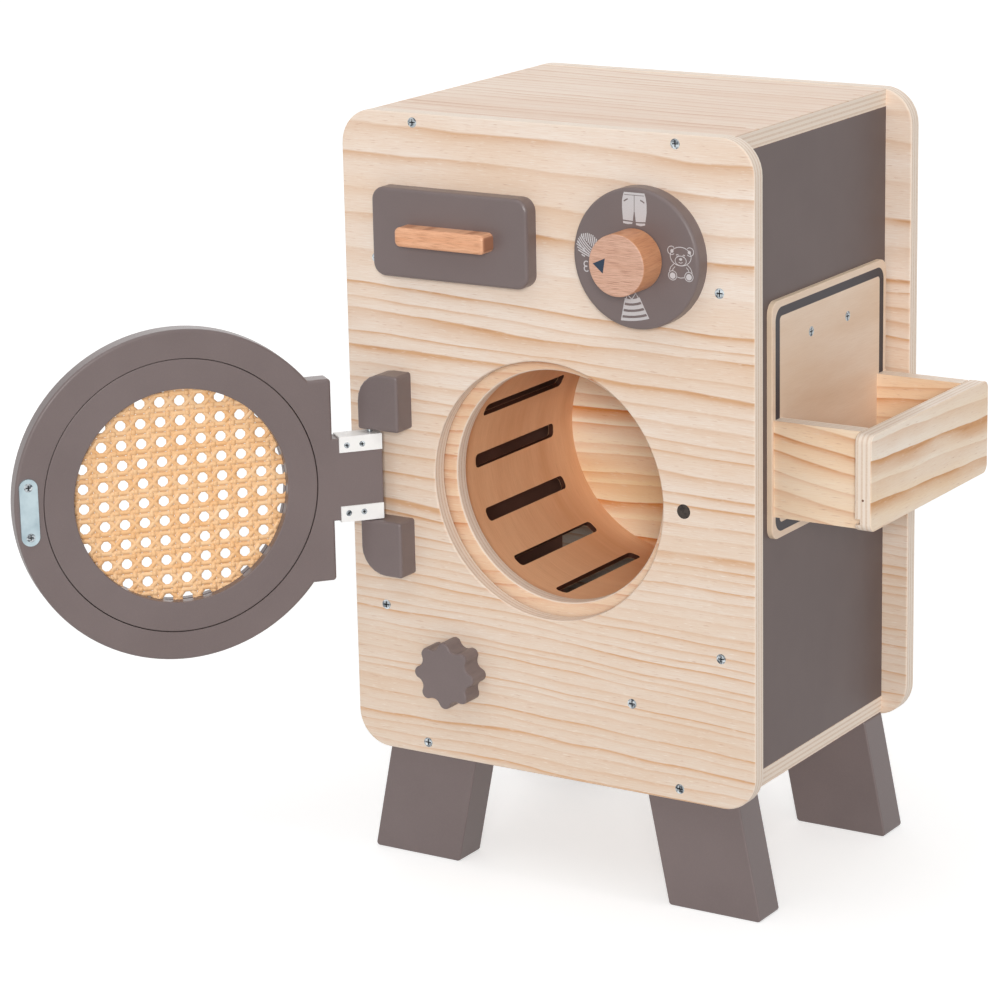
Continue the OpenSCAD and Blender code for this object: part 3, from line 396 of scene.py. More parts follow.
def distanceInside(tree, parts, corner):
    # how far a point of the tray's plate lies inside its outline, drawn with the given corner radius
    low, high = boxOf("tray_back_plate")
    distances = []
    for axis in (1, 2):
        centre = (low[axis] + high[axis]) / 2
        half = (high[axis] - low[axis]) / 2 - corner
        offset = calc(tree, "ABSOLUTE", calc(tree, "SUBTRACT", parts[axis], centre))
        distances.append(calc(tree, "SUBTRACT", offset, half))
    outside = [calc(tree, "MAXIMUM", value, 0.0) for value in distances]
    squared = calc(tree, "MULTIPLY", outside[1], outside[1])
    squared = calc(tree, "MULTIPLY_ADD", outside[0], outside[0], squared)
    inside = calc(tree, "MINIMUM", calc(tree, "MAXIMUM", distances[0], distances[1]), 0.0)
    return calc(tree, "SUBTRACT", corner, calc(tree, "ADD", calc(tree, "SQRT", squared), inside))


def trayPlateMaterial():
    # veneer with a painted frame line that follows the plate's outline
    material, tree, shader, base, parts = veneerMaterial("tray plate ply", "sheet", "y", "z", 4.0)
    face = boxOf("tray_back_plate")[1][0]
    half = trayStripe["width"] / 2
    inside = distanceInside(tree, parts, trayStripe["corner"])
    away = calc(tree, "ABSOLUTE", calc(tree, "SUBTRACT", inside, trayStripe["inset"] + half))
    isStripe = limited(tree, away, half - trayStripe["soft"], half + trayStripe["soft"], 1.0, 0.0)
    onFace = limited(tree, parts[0], face - trayStripe["depth"][0], face - trayStripe["depth"][1])
    painted = calc(tree, "MULTIPLY", isStripe, onFace)
    base = mixColours(tree, painted, base, screenColour(*trayStripe["colour"]))
    inside = distanceInside(tree, parts, trayEdge["corner"])
    isRim = limited(tree, inside, *trayEdge["width"], trayEdge["amount"], 0.0)
    base = mixColours(tree, isRim, base, screenColour(*trayEdge["colour"]))
    tree.links.new(base, shader.inputs["Base Color"])
    return material


dress(trayPlateMaterial(), "tray_back_plate")

beechLooks = {
    "handle": {"pale": (244, 190, 153), "dark": (233, 171, 131), "fleck": (168, 102, 70), "fine": 3.8,
        "amount": 0.6},
    "knobFace": {"pale": (227, 185, 163), "dark": (213, 167, 143), "fleck": (162, 115, 94), "fine": 4.0,
        "amount": 0.85},
    "knobSide": {"pale": (224, 164, 122), "dark": (206, 142, 104), "fleck": (172, 108, 76), "fine": 2.0,
        "amount": 0.4},
}
beechCloud = (0.02, 0.22)  # changes per millimetre, along and across
fleckAlong = 0.09  # changes per millimetre along; those across are the look's own "fine"
knobEdge = (0.35, 0.7)  # millimetres behind the face where its figure gives way to the side's
endGrain = {"colour": (172, 118, 90), "deep": 0.9}  # the handle's sawn ends are darker


def beechColour(tree, parts, look, along, across):
    tones = beechLooks[look]
    lengthways = parts[axisIndex[along]]
    sideways = parts[axisIndex[across]]
    cloud = stretched(tree, lengthways, sideways, beechCloud, 1.0, 3.0, 0.6)
    fleck = stretched(tree, lengthways, sideways, (fleckAlong, tones["fine"]), 5.0)
    base = mixColours(tree, comesIn(tree, cloud, (0.3, 0.7)), screenColour(*tones["pale"]),
        screenColour(*tones["dark"]))
    base = mixColours(tree, comesIn(tree, fleck, (0.48, 0.66), tones["amount"]), base,
        screenColour(*tones["fleck"]))
    return base, fleck


def handleMaterial():
    material, tree, shader = startMaterial("handle beech", roughness=0.42, specular=0.4)
    parts = objectParts(tree)
    base, fleck = beechColour(tree, parts, "handle", "x", "z")
    low, high = boxOf("drawer_handle")
    half = (high[0] - low[0]) / 2
    fromMiddle = calc(tree, "ABSOLUTE", calc(tree, "SUBTRACT", parts[0], (low[0] + high[0]) / 2))
    isEnd = limited(tree, fromMiddle, half - endGrain["deep"], half - endGrain["deep"] / 3)
    base = mixColours(tree, isEnd, base, screenColour(*endGrain["colour"]))
    tree.links.new(base, shader.inputs["Base Color"])
    addBump(tree, shader, fleck, strength=0.15, distance=0.0003)
    return material


def knobMaterial():
    # the sawn face shows open pores, the turned side is smooth
    material, tree, shader = startMaterial("dial knob beech", roughness=0.42, specular=0.4)
    parts = objectParts(tree)
    faceBase, faceFleck = beechColour(tree, parts, "knobFace", "x", "z")
    sideBase = beechColour(tree, parts, "knobSide", "y", "z")[0]
    knobFront = boxOf("dial_knob")[0][1]
    isFace = limited(tree, parts[1], knobFront + knobEdge[0], knobFront + knobEdge[1], 1.0, 0.0)
    tree.links.new(mixColours(tree, isFace, sideBase, faceBase), shader.inputs["Base Color"])
    addBump(tree, shader, faceFleck, strength=0.18, distance=0.0003)
    return material


dress(handleMaterial(), "drawer_handle")
dress(knobMaterial(), "dial_knob")
print("other woods dressed")

paints = {
    "taupe": {"colour": (119, 106, 105), "deep": (114, 101, 100), "worn": (131, 118, 116), "roughness": 0.36},
    # the side panels bear the same paint as the taupe parts; their tone here is darker as painted shade, for
    # the less light that falls on them
    "shadedSides": {"colour": (103, 89, 87), "deep": (98, 84, 82), "worn": (114, 100, 97), "roughness": 0.48},
    "inside": {"colour": (166, 118, 102), "deep": (144, 98, 82), "worn": (98, 62, 50)},
}
paintSkin = {"mottle": 14.0, "peel": 1100.0}  # changes per metre
bareDepth = (0.2, 0.5)  # millimetres behind a side panel's outer face where the paint ends


def paintColour(tree, look):
    # sprayed satin paint: hardly any mottling and a fine orange peel
    tones = paints[look]
    mottle = noiseOf(tree, objectPlace(tree), paintSkin["mottle"], 3.0, 0.55)
    peel = noiseOf(tree, objectPlace(tree), paintSkin["peel"])
    base = mixColours(tree, comesIn(tree, mottle, (0.35, 0.65)), screenColour(*tones["deep"]),
        screenColour(*tones["colour"]))
    base = mixColours(tree, comesIn(tree, peel, (0.45, 0.8), 0.22), base, screenColour(*tones["worn"]))
    return base, mottle, peel


def paintMaterial(name):
    middle = paints["taupe"]["roughness"]
    material, tree, shader = startMaterial(name, roughness=middle, specular=0.45)
    base, mottle, peel = paintColour(tree, "taupe")
    tree.links.new(base, shader.inputs["Base Color"])
    roughness = limited(tree, mottle, 0.3, 0.7, middle - 0.04, middle + 0.05)
    tree.links.new(roughness, shader.inputs["Roughness"])
    addBump(tree, shader, peel, strength=0.1, distance=0.0002)
    return material


dress(paintMaterial("taupe paint"), "front_left_leg", "front_right_leg", "rear_left_leg", "rear_right_leg",
    "upper_hinge_block", "lower_hinge_block", "door_frame", "door_inner_ring", "dial_plate", "filter_knob",
    "drawer_front")


def sideMaterial(name, node, outwards):
    # fibreboard, painted on its outer face and bare brown elsewhere; the outer paint is a darker tone of the
    # taupe, painted shade for sides that turn away from the front light
    material, tree, shader = startMaterial(name, roughness=paints["shadedSides"]["roughness"], specular=0.4)
    painted, _, peel = paintColour(tree, "shadedSides")
    bare = paintColour(tree, "inside")[0]
    low, high = boxOf(node)
    face = high[0] if outwards > 0 else low[0]
    fromFace = calc(tree, "MULTIPLY", calc(tree, "SUBTRACT", face, objectParts(tree)[0]), float(outwards))
    base = mixColours(tree, limited(tree, fromFace, *bareDepth), painted, bare)
    tree.links.new(base, shader.inputs["Base Color"])
    addBump(tree, shader, peel, strength=0.1, distance=0.0002)
    return material


dress(sideMaterial("left side shaded paint", "left_side_panel", -1), "left_side_panel")
dress(sideMaterial("right side shaded paint", "right_side_panel", 1), "right_side_panel")

# "patch" is how often a metal's tone changes per metre.
metals = {
    # zinc's wide run from its dark to its pale tone is partly the plating's own mottle and partly painted
    # reflections on the heads and plated parts
    "zinc": {"pale": (216, 223, 227), "dark": (60, 68, 76), "roughness": 0.3, "metallic": 1.0,
        "patch": 420.0},
    "plate": {"pale": (186, 202, 208), "dark": (158, 176, 184), "roughness": 0.42, "metallic": 1.0,
        "patch": 60.0},
    "white": {"pale": (250, 250, 249), "dark": (244, 244, 243), "roughness": 0.4, "metallic": 0.0,
        "patch": 60.0},
    "iron": {"pale": (74, 66, 60), "dark": (46, 41, 40), "roughness": 0.45, "metallic": 0.6,
        "patch": 300.0},
}
scratches = 1500.0  # changes per metre
recessShade = {"start": 0.06, "end": 0.22, "colour": (40, 38, 39)}  # depths in millimetres; painted shade in a screw's recess


def metalMaterial(name, look, outwards=None, face=None):
    # with outwards and face, whatever lies deeper than that face is painted dark as shade, as in a screw's
    # recess
    tones = metals[look]
    material, tree, shader = startMaterial(name, tones["roughness"], tones["metallic"])
    place = objectPlace(tree)
    cloud = noiseOf(tree, place, tones["patch"], 3.0, 0.6)
    scratch = noiseOf(tree, place, scratches, 2.0, 0.6)
    # patches between the dark and pale tones; for zinc they are partly the plating's mottle and partly
    # painted reflections
    base = mixColours(tree, comesIn(tree, cloud, (0.35, 0.65)), screenColour(*tones["dark"]),
        screenColour(*tones["pale"]))
    roughness = limited(tree, scratch, 0.3, 0.7, tones["roughness"] - 0.06, tones["roughness"] + 0.08)
    if outwards is not None:
        way = outwards.normalized()
        dot = put(tree, "ShaderNodeVectorMath", {"operation": "DOT_PRODUCT"}, {0: place, 1: way})
        behind = calc(tree, "SUBTRACT", way.dot(face), dot.outputs["Value"])
        depth = calc(tree, "MULTIPLY", behind, 1000.0)
        # painted shade: darker below the face of the heads
        inRecessShade = limited(tree, depth, recessShade["start"], recessShade["end"])
        base = mixColours(tree, inRecessShade, base, screenColour(*recessShade["colour"]))
    tree.links.new(base, shader.inputs["Base Color"])
    tree.links.new(roughness, shader.inputs["Roughness"])
    addBump(tree, shader, scratch, strength=0.08, distance=0.0001)
    return material


# Millimetres and degrees. The bracket and strike levels are those of the faces with their screw heads.
door = {"hingeX": -137.5, "hingeY": -11.0, "middleZ": 204.7, "reach": 137.5, "openAngle": 129.0}
doorFace = {"bracket": 8.7, "strike": 9.0}


def doorMatrix():  # door millimetres (x along the door, y through it, z up) to the scene
    turn = Matrix.Rotation(math.radians(-door["openAngle"]), 4, "Z")
    hinge = Matrix.Translation(spot(door["hingeX"], door["hingeY"], door["middleZ"]))
    return hinge @ turn @ Matrix.Scale(0.001, 4)


# Millimetres in the cabinet's own frame: the faces that the screw heads lie in.
headFaces = {
    "bottomPanelTop": 14.6, "cabinetBack": 244.0, "frontPanelBack": 12.0, "axleFlange": 197.0,
    "trayPlate": 145.0,
}
doorOut = (doorMatrix() @ Vector((0, 1, 0))) - (doorMatrix() @ Vector((0, 0, 0)))
right, front, up = Vector((1, 0, 0)), Vector((0, -1, 0)), Vector((0, 0, 1))
screwGroups = [
    # node, the way its heads face, a place on that face
    ("leg_screws", up, spot(0, 0, headFaces["bottomPanelTop"])),
    ("front_screws", front, spot(0, 0, 0)),
    ("rear_screws", -front, spot(0, headFaces["cabinetBack"], 0)),
    ("lower_front_screw", front, spot(0, 0, 0)),
    ("hinge_block_screws", -front, spot(0, headFaces["frontPanelBack"], 0)),
    ("bracket_screws", doorOut, doorMatrix() @ Vector((0, doorFace["bracket"], 0))),
    ("strike_plate_screws", doorOut, doorMatrix() @ Vector((0, doorFace["strike"], 0))),
    ("drum_axle_screws", -front, spot(0, headFaces["axleFlange"], 0)),
    ("handle_screws", -front, spot(0, 0, 0)),
    ("tray_screws", right, spot(headFaces["trayPlate"], 0, 0)),
]
for node, outwards, face in screwGroups:
    dress(metalMaterial(node.replace("_", " ") + " zinc", "zinc", outwards, face), node)
plated = ("hinge_pins", "drum_axle", "drum_lock_nut", "dial_bolt", "filter_bolt")
dress(metalMaterial("zinc plating", "zinc"), *plated)
dress(metalMaterial("strike plate zinc", "plate"), "strike_plate")
dress(metalMaterial("white bracket coating", "white"), "upper_hinge_bracket", "lower_hinge_bracket")
dress(metalMaterial("magnet iron", "iron"), "door_magnet")
print("paint and metal dressed")

# Millimetres. A pair's strands lie "pairOffset" to each side of its middle. Where they cross another pair
# they rise and fall by "wave", out to "crossing" times that offset. The diagonals' waves are "deeper" times
# as high. A strand that would pass less than "shy" inside the round of the window is left out.
weave = {
    "pitch": 14.0, "shiftX": -2.5, "shiftZ": -4.2, "radius": 79.0, "level": -1.0,
    "pairOffset": 1.8, "strand": 3.2, "diagonal": 3.0, "thick": 0.5, "wave": 0.32, "crossing": 2.2,
    "deeper": 1.5, "step": 1.2, "crown": 0.12, "shy": 0.5, "pairRows": 7, "diagonalRows": 10, "seed": 4,
}
caneGrain = {"blotch": (0.09, 37.0), "lines": (0.12, 14.0)}
caneLook = {"pale": (255, 213, 166), "deep": (247, 194, 138), "fibre": (222, 162, 106)}
strandLayers = ("along", "across", "tone")


def finishMesh(name, shape, body, material, smooth=True):
    mesh = bpy.data.meshes.new(name)
    shape.to_mesh(mesh)
    shape.free()
    piece = bpy.data.objects.new(name, mesh)
    bpy.context.scene.collection.objects.link(piece)
    mesh.materials.append(material)
    for face in mesh.polygons:
        face.use_smooth = smooth
    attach(piece, body)
    return piece


def addStrand(shape, centre, angle, offset, width, height, tone):
    # one flat strand through the round window: centre of the pattern, direction, side offset
    reach = weave["radius"]
    middleSide = -centre[0] * math.sin(angle) + centre[1] * math.cos(angle) + offset
    if abs(middleSide) > reach - weave["shy"]:
        return
    half = math.sqrt(reach * reach - middleSide * middleSide)
    count = max(4, int(2 * half / weave["step"]))
    made = bmesh.ops.create_grid(shape, x_segments=count, y_segments=2, size=1.0)["verts"]
    direction = Vector((math.cos(angle), 0, math.sin(angle)))
    side = Vector((-math.sin(angle), 0, math.cos(angle)))
    alongCentre = centre[0] * math.cos(angle) + centre[1] * math.sin(angle)
    for vertex in made:
        along = vertex.co.x * half
        across = vertex.co.y * width / 2
        vertex[shape.verts.layers.float["along"]] = along
        vertex[shape.verts.layers.float["across"]] = across / width
        vertex[shape.verts.layers.float["tone"]] = tone
        crown = weave["crown"] * (1 - vertex.co.y ** 2)
        lift = weave["level"] + crown + height(along - alongCentre)
        vertex.co = direction * along + side * (middleSide + across) + Vector((0, lift, 0))


def pairHeight(parity):
    # over one strand of the crossing pair and under the other, and level between the pairs
    def height(along):
        local = (along + weave["pitch"] / 2) % weave["pitch"] - weave["pitch"] / 2
        if abs(local) < weave["pairOffset"] * weave["crossing"]:
            return parity * weave["wave"] * math.sin(math.pi * local / (2 * weave["pairOffset"]))
        return 0.0
    return height


def diagonalHeight(sign, start):
    # the diagonals cross each other with deeper waves
    spacing = weave["pitch"] / math.sqrt(2)

    def height(along):
        return sign * weave["wave"] * weave["deeper"] * math.cos(math.pi * (along - start) / spacing)
    return height


def caneMaterial():
    # split rattan: glossy straw skin with fine length lines, each strand a little different
    material, tree, shader = startMaterial("rattan cane", roughness=0.45, specular=0.35)
    readers = [put(tree, "ShaderNodeAttribute", {"attribute_name": layer}, {}) for layer in strandLayers]
    along, across, tone = [reader.outputs["Fac"] for reader in readers]
    blotch = stretched(tree, along, tone, caneGrain["blotch"], 0.0)
    lines = stretched(tree, along, across, caneGrain["lines"], calc(tree, "MULTIPLY", tone, 19.0), 3.0, 0.6)
    mixed = calc(tree, "MULTIPLY_ADD", calc(tree, "SUBTRACT", tone, 0.5), 0.35, blotch)
    base = mixColours(tree, comesIn(tree, mixed, (0.3, 0.75)), screenColour(*caneLook["pale"]),
        screenColour(*caneLook["deep"]))
    base = mixColours(tree, comesIn(tree, lines, (0.5, 0.8), 0.4), base, screenColour(*caneLook["fibre"]))
    rim = comesIn(tree, calc(tree, "ABSOLUTE", across), (0.4, 0.5), 0.4)
    base = mixColours(tree, rim, base, screenColour(*caneLook["fibre"]))
    tree.links.new(base, shader.inputs["Base Color"])
    addBump(tree, shader, lines, strength=0.15, distance=0.0002)
    return material


def weaveCane():
    shape = bmesh.new()
    for layer in strandLayers:
        shape.verts.layers.float.new(layer)
    chance = random.Random(weave["seed"])
    centre = (weave["shiftX"], weave["shiftZ"])  # middle of a hole
    pitch = weave["pitch"]
    for index in range(-weave["pairRows"], weave["pairRows"] + 1):
        for part in (-1, 1):
            offset = (index + 0.5) * pitch + part * weave["pairOffset"]
            lift = pairHeight(part)

            def upright(along, lift=lift):
                return lift(along - pitch / 2)

            def level(along, lift=lift):
                return -lift(along - pitch / 2)

            addStrand(shape, centre, math.pi / 2, offset, weave["strand"], upright, chance.random())
            addStrand(shape, centre, 0.0, offset, weave["strand"], level, chance.random())
    spacing = pitch / math.sqrt(2)
    for index in range(-weave["diagonalRows"], weave["diagonalRows"] + 1):
        offset = (index + 0.5) * spacing
        start = spacing * 0.5 if index % 2 else -spacing * 0.5
        for turn in (-1, 1):
            lift = diagonalHeight(turn, start)
            addStrand(shape, centre, turn * math.pi / 4, offset, weave["diagonal"], lift, chance.random())
    bmesh.ops.solidify(shape, geom=shape.faces[:], thickness=weave["thick"])
    place = doorMatrix() @ Matrix.Translation((door["reach"], 0, 0))
    bmesh.ops.transform(shape, matrix=place, verts=shape.verts[:])
    bmesh.ops.recalc_face_normals(shape, faces=shape.faces[:])
    piece = finishMesh("woven_cane", shape, "door", caneMaterial())
    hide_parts("cane_webbing")
    print("cane woven,", len(piece.data.polygons), "faces")


weaveCane()

# The prints on the dial: places are x, z in millimetres from the dial's middle.
dial = {"x": 78.5, "z": 377.0, "face": -12.0, "knobFace": -37.0, "lift": 0.03, "step": 0.002}
printLook = {
    "pale": (208, 204, 206), "seam": (122, 110, 109), "navy": (50, 64, 82), "worn": 0.86, "specks": 2200.0,
}
penWidth = {"seam": 0.4, "pocket": 0.9, "bear": 0.5, "dress": 0.7, "yarn": 0.8}


def printMaterial(name, colour):
    material, tree, shader = startMaterial(name, roughness=0.5, specular=0.3)
    specks = noiseOf(tree, objectPlace(tree), printLook["specks"], 2.0, 0.7)
    worn = [value * printLook["worn"] for value in colour]
    base = mixColours(tree, comesIn(tree, specks, (0.5, 0.8)), screenColour(*colour), screenColour(*worn))
    tree.links.new(base, shader.inputs["Base Color"])
    return material


def addRibbon(shape, line, width, level):
    # a flat ribbon of even width along a line of x, z points
    points = [Vector((x, 0, z)) for x, z in line]
    count = len(points)
    made = bmesh.ops.create_grid(shape, x_segments=count - 1, y_segments=1, size=1.0)["verts"]
    for vertex in made:
        index = round((vertex.co.x + 1) / 2 * (count - 1))
        side = 1 if vertex.co.y > 0 else -1
        direction = (points[min(index + 1, count - 1)] - points[max(index - 1, 0)]).normalized()
        across = Vector((-direction.z, 0, direction.x))
        vertex.co = points[index] + across * (side * width / 2) + Vector((0, -level, 0))


def flatPiece(name, faceY, body, material, outlines=(), lines=(), width=0.0):
    # closed outlines are filled, lines are drawn as ribbons, each a hair above the last
    shape = bmesh.new()
    for outline in outlines:
        corners = [shape.verts.new((x, 0, z)) for x, z in outline]
        followers = corners[1:] + corners[:1]
        ring = [shape.edges.new(pair) for pair in zip(corners, followers)]
        bmesh.ops.triangle_fill(shape, use_beauty=True, edges=ring)
    for index, line in enumerate(lines):
        addRibbon(shape, line, width, dial["step"] * (index + 1))
    shape.normal_update()
    for face in shape.faces:
        if face.normal.y > 0:
            face.normal_flip()
    place = Matrix.Translation(spot(dial["x"], faceY - dial["lift"], dial["z"])) @ Matrix.Scale(0.001, 4)
    bmesh.ops.transform(shape, matrix=place, verts=shape.verts[:])
    return finishMesh(name, shape, body, material, False)


def oval(x, z, radius, start=0, end=360, count=28, squeeze=1.0):
    # points along an arc from start to end in degrees; squeeze is how many times as wide as high it is
    points = []
    for index in range(count + 1):
        angle = math.radians(start + (end - start) * index / count)
        points.append((x + radius * squeeze * math.cos(angle), z + radius * math.sin(angle)))
    return points


def moved(points, x, z, turn=0.0):  # turns points about their own origin, then shifts them
    cosine, sine = math.cos(math.radians(turn)), math.sin(math.radians(turn))
    return [(x + px * cosine - pz * sine, z + px * sine + pz * cosine) for px, pz in points]


palePrint = printMaterial("pale print", printLook["pale"])
seamPrint = printMaterial("seam print", printLook["seam"])
navyPrint = printMaterial("navy print", printLook["navy"])


def printTrousers():
    legs = [(-7.9, 44.3), (7.6, 44.3), (8.6, 41.0), (9.2, 36.5), (9.1, 31.5), (8.2, 25.3), (0.9, 24.9),
        (0.1, 31.8), (-0.5, 31.8), (-1.3, 25.4), (-8.8, 25.8), (-9.4, 33.5), (-9.3, 39.0), (-8.6, 42.0)]
    leftCuff = [(-8.8, 24.9), (-1.5, 24.6), (-1.9, 23.4), (-5.2, 23.0), (-8.6, 23.5)]
    rightCuff = [(1.0, 24.1), (8.0, 24.4), (7.8, 23.1), (4.6, 22.4), (1.1, 22.9)]
    flatPiece("trousers_print", dial["face"], "cabinet", palePrint, outlines=[legs, leftCuff, rightCuff])
    fly = [(-0.1, 42.8), (-0.2, 32.0)]
    waist = [(-7.7, 42.6), (7.3, 42.6)]
    over = dial["face"] - dial["lift"]
    flatPiece("trousers_seams", over, "cabinet", seamPrint, lines=[fly, waist], width=penWidth["seam"])
    leftPocket = [(-8.0, 38.2), (-6.4, 39.2), (-5.0, 39.9)]
    rightPocket = [(4.4, 39.6), (5.9, 39.0), (7.5, 37.9)]
    pockets = [leftPocket, rightPocket]
    flatPiece("trousers_pockets", over, "cabinet", seamPrint, lines=pockets, width=penWidth["pocket"])


def printBear():
    x, z = 34.4, 0.0
    lines = [oval(x, z + 4.8, 6.2, squeeze=1.26), oval(x, z + 1.9, 3.2, squeeze=1.3)]
    lines.append([(x - 2.6, z - 9.0), (x, z - 9.5), (x + 2.6, z - 9.0)])
    fills = [oval(x, z + 2.9, 0.9, count=14, squeeze=1.3)[:-1]]
    for side in (-1, 1):
        middle = 90 - 90 * side
        lines.append(oval(x + side * 6.9, z + 8.4, 2.8, middle - 135, middle + 135))
        lines.append(oval(x + side * 2.4, z + 5.1, 0.9, 20, 160, 8))
        lines.append([(x + side * 5.0, z - 0.4), (x + side * 7.4, z - 2.6), (x + side * 8.6, z - 5.6)])
        lines.append([(x + side * 4.2, z - 2.2), (x + side * 5.6, z - 3.6), (x + side * 6.2, z - 5.2)])
        lines.append(oval(x + side * 6.1, z - 8.2, 3.1))
        fills.append(oval(x + side * 6.1, z - 8.4, 2.1)[:-1])
        fills.append(oval(x + side * 6.5, z + 8.0, 1.2)[:-1])
        fills.append(oval(x + side * 2.4, z + 4.6, 0.5, count=12)[:-1])
    lines.append([(x - 1.5, z + 1.0), (x, z + 0.4), (x + 1.5, z + 1.0)])
    flatPiece("bear_print", dial["face"], "cabinet", palePrint, fills, lines, penWidth["bear"])


def printDress():
    # a striped dress, drawn upright from its hem and then set at its place on the dial
    place = (-0.4, -40.6, 8.0)
    neck = 14.6

    def half(height):  # half width of the dress at a height above its hem
        return 10.6 - height * 0.36

    bands = []
    for low, high in ((0.0, 1.9), (3.5, 6.0), (7.6, 10.2), (11.8, neck)):
        steps = [-1.0, -0.5, 0.0, 0.5, 1.0]
        hem = [(side * half(low), low - 0.9 * (1 - side * side)) for side in steps]
        top = [(side * half(high), high - 0.9 * (1 - side * side)) for side in reversed(steps)]
        bands.append(moved(hem + top, *place))
    edges = [[(side * half(0), 0), (side * half(neck), neck)] for side in (-1, 1)]
    straps = [[(-4.6, 14.4), (-3.4, 17.2), (-0.4, 13.6)], [(4.6, 14.4), (3.2, 17.6), (-0.4, 13.6)]]
    lines = [moved(line, *place) for line in edges + straps]
    flatPiece("dress_print", dial["face"], "cabinet", palePrint, bands, lines, penWidth["dress"])


def printYarn():
    # a ball of wool and its curled tail: bundles of threads in three directions, cut by the ball's outline
    # and by two slanting lines
    x, z, radius = -36.2, 6.6, 8.4
    lines = []

    def addThreads(turn, bow, offsets, inside):
        for offset in offsets:
            steps = [-radius + radius * step / 12 for step in range(25)]
            thread = [(step, offset + bow * (1 - (step / radius) ** 2)) for step in steps]
            kept = [p for p in moved(thread, 0, 0, turn) if math.hypot(*p) < radius and inside(*p)]
            if len(kept) > 2:
                lines.append([(x + px, z + pz) for px, pz in kept])

    def above(px, pz):
        return pz + 0.9 * px > 1.6

    def below(px, pz):
        return pz + 0.9 * px < -5.0

    addThreads(74.0, -0.8, [-8 + 1.45 * step for step in range(11)], above)
    addThreads(-44.0, -1.2, [1.2, -0.3, -1.8, -3.3], lambda px, pz: True)
    addThreads(-24.0, -0.6, [-7.6 + 1.45 * step for step in range(7)], below)
    lines.append(oval(x - 1.0, z - 13.0, 1.8, 50, 290, 12))
    lines.append(oval(x - 0.9, z - 16.2, 1.8, 70, 320, 12))
    flatPiece("yarn_print", dial["face"], "cabinet", palePrint, lines=lines, width=penWidth["yarn"])


printTrousers()
printBear()
printDress()
printYarn()


# a flat dark disc of painted shade, where a nail hole's mouth lies; no hole is cut
nailHoleShade = {"radius": 0.8, "rise": 22.0, "colour": (118, 82, 62)}


def paintNailHoleShade():
    # a dark disc of painted shade for the mouth of a nail hole in the front edge of the tray's outer board
    low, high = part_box("tray_outer_board")
    shape = bmesh.new()
    bmesh.ops.create_circle(shape, cap_ends=True, segments=20, radius=nailHoleShade["radius"] / 1000)
    quarter = Matrix.Rotation(math.pi / 2, 3, "X")
    bmesh.ops.rotate(shape, verts=shape.verts[:], cent=(0, 0, 0), matrix=quarter)
    level = low[1] - dial["lift"] / 1000
    place = Vector(((low[0] + high[0]) / 2, level, low[2] + nailHoleShade["rise"] / 1000))
    bmesh.ops.translate(shape, verts=shape.verts[:], vec=place)
    material = printMaterial("nail hole shadow", nailHoleShade["colour"])
    finishMesh("nail_hole_shade", shape, "cabinet", material, False)


paintNailHoleShade()
pointer = [(-17.5, 0.2), (-8.2, 4.3), (-10.0, -6.0)]
flatPiece("knob_pointer", dial["knobFace"], "dial", navyPrint, outlines=[pointer])
print("prints made")

# The floor's half width in metres, its own glow and its grey, and the light of the white surroundings.
stage = {"floorSize": 24.0, "floorGlow": 0.52, "floorTone": 0.72, "world": 0.38}
# Each lamp: energy, angle of its disc, turn to the right of the front, height above level, colour.
lamps = {
    "front_light": (1.55, 14.0, 30.0, 16.0, (1.0, 0.985, 0.965)),
    "top_light": (0.54, 50.0, -14.0, 68.0, (1.0, 0.99, 0.98)),
    "rear_light": (0.5, 60.0, -150.0, 28.0, (1.0, 0.99, 0.98)),
    "edge_light": (0.18, 6.0, 82.0, 56.0, (1.0, 1.0, 1.0)),
}


def seenRays(tree):  # 1 for what the camera sees, either straight on or by a glossy or a clear piece
    path = put(tree, "ShaderNodeLightPath", {}, {})
    seen = calc(tree, "MAXIMUM", path.outputs["Is Camera Ray"], path.outputs["Is Glossy Ray"])
    return calc(tree, "MAXIMUM", seen, path.outputs["Is Transmission Ray"])


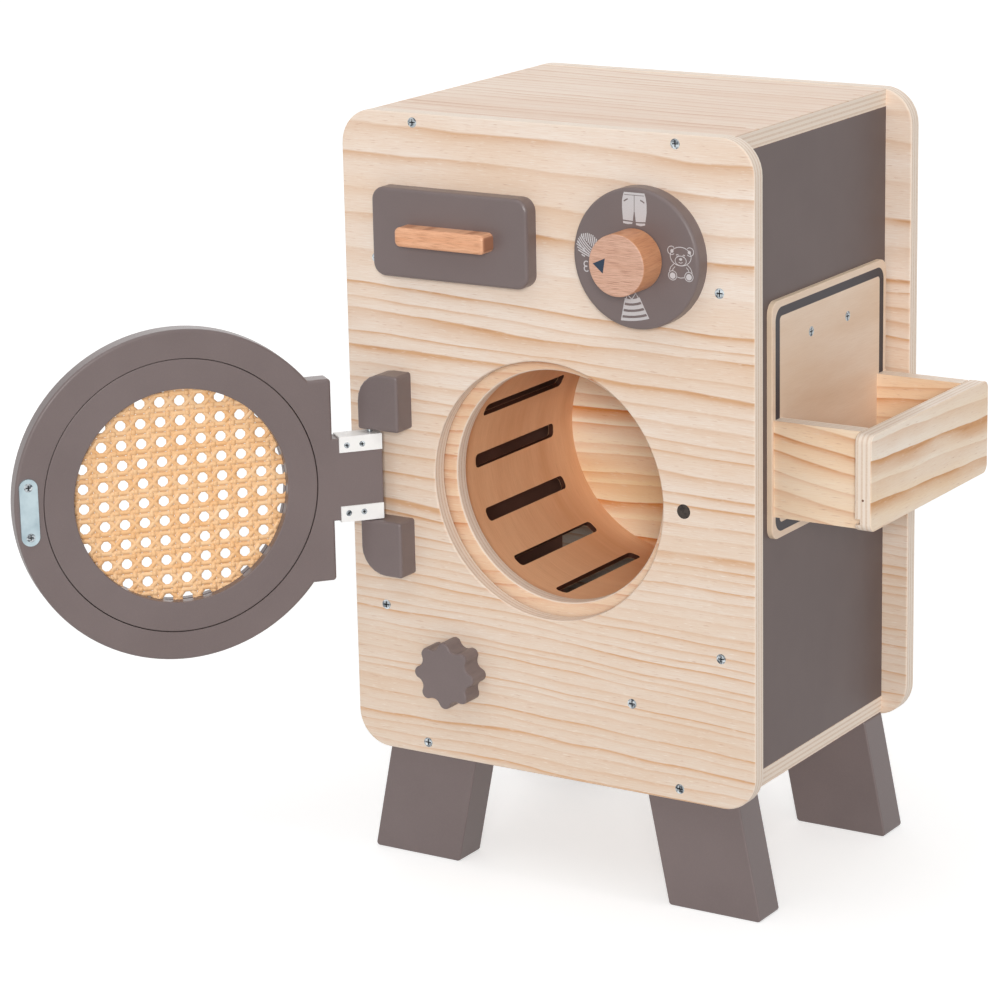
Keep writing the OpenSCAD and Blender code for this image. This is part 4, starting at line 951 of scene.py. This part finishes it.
def makeFloor():
    shape = bmesh.new()
    bmesh.ops.create_grid(shape, x_segments=1, y_segments=1, size=stage["floorSize"])
    mesh = bpy.data.meshes.new("studio_floor")
    shape.to_mesh(mesh)
    shape.free()
    floor = bpy.data.objects.new("studio_floor", mesh)
    bpy.context.scene.collection.objects.link(floor)
    material, tree, shader = startMaterial("floor white", roughness=0.9, specular=0.1)
    tone = stage["floorTone"]
    shader.inputs["Base Color"].default_value = (tone, tone, tone, 1)
    strength = calc(tree, "MULTIPLY", seenRays(tree), stage["floorGlow"])
    glow = put(tree, "ShaderNodeEmission", {}, {"Color": (1, 1, 1, 1), "Strength": strength})
    both = put(tree, "ShaderNodeAddShader", {}, {0: shader.outputs[0], 1: glow.outputs[0]})
    tree.links.new(both.outputs[0], tree.nodes["Material Output"].inputs["Surface"])
    mesh.materials.append(material)


def makeLights():
    world = bpy.data.worlds.new("studio")
    bpy.context.scene.world = world
    world.use_nodes = True
    tree = world.node_tree
    strength = calc(tree, "MULTIPLY_ADD", seenRays(tree), 1.0 - stage["world"], stage["world"])
    background = tree.nodes["Background"]
    background.inputs["Color"].default_value = (1, 1, 1, 1)
    tree.links.new(strength, background.inputs["Strength"])
    for name, (energy, disc, turn, height, colour) in lamps.items():
        lamp = bpy.data.lights.new(name, "SUN")
        lamp.energy = energy
        lamp.angle = math.radians(disc)
        lamp.color = colour
        holder = bpy.data.objects.new(name, lamp)
        bpy.context.scene.collection.objects.link(holder)
        aside, above = math.radians(turn), math.radians(height)
        level = math.cos(above)
        towards = Vector((math.sin(aside) * level, -math.cos(aside) * level, math.sin(above)))
        holder.rotation_euler = towards.to_track_quat("Z", "Y").to_euler()


# Angles in degrees, lens, sensor and place in millimetres, and how far the camera sees in metres.
view = {
    "lens": 130.34, "sensor": 36.0, "yaw": 32.296, "pitch": 15.113, "roll": -1.188,
    "place": (1250.047, -2037.671, 846.485), "far": 100.0,
}


def makeCamera():
    data = bpy.data.cameras.new("camera")
    data.sensor_width = view["sensor"]
    data.lens = view["lens"]
    data.clip_end = view["far"]
    camera = bpy.data.objects.new("camera", data)
    bpy.context.scene.collection.objects.link(camera)
    turn = Matrix.Rotation(math.radians(view["yaw"]), 4, "Z")
    tilt = Matrix.Rotation(math.radians(90 - view["pitch"]), 4, "X")
    roll = Matrix.Rotation(math.radians(view["roll"]), 4, "Z")
    camera.matrix_world = Matrix.Translation(spot(*view["place"])) @ turn @ tilt @ roll
    bpy.context.scene.camera = camera


makeFloor()
makeLights()
makeCamera()
bpy.context.scene.view_settings.view_transform = "Standard"
print("stage set")
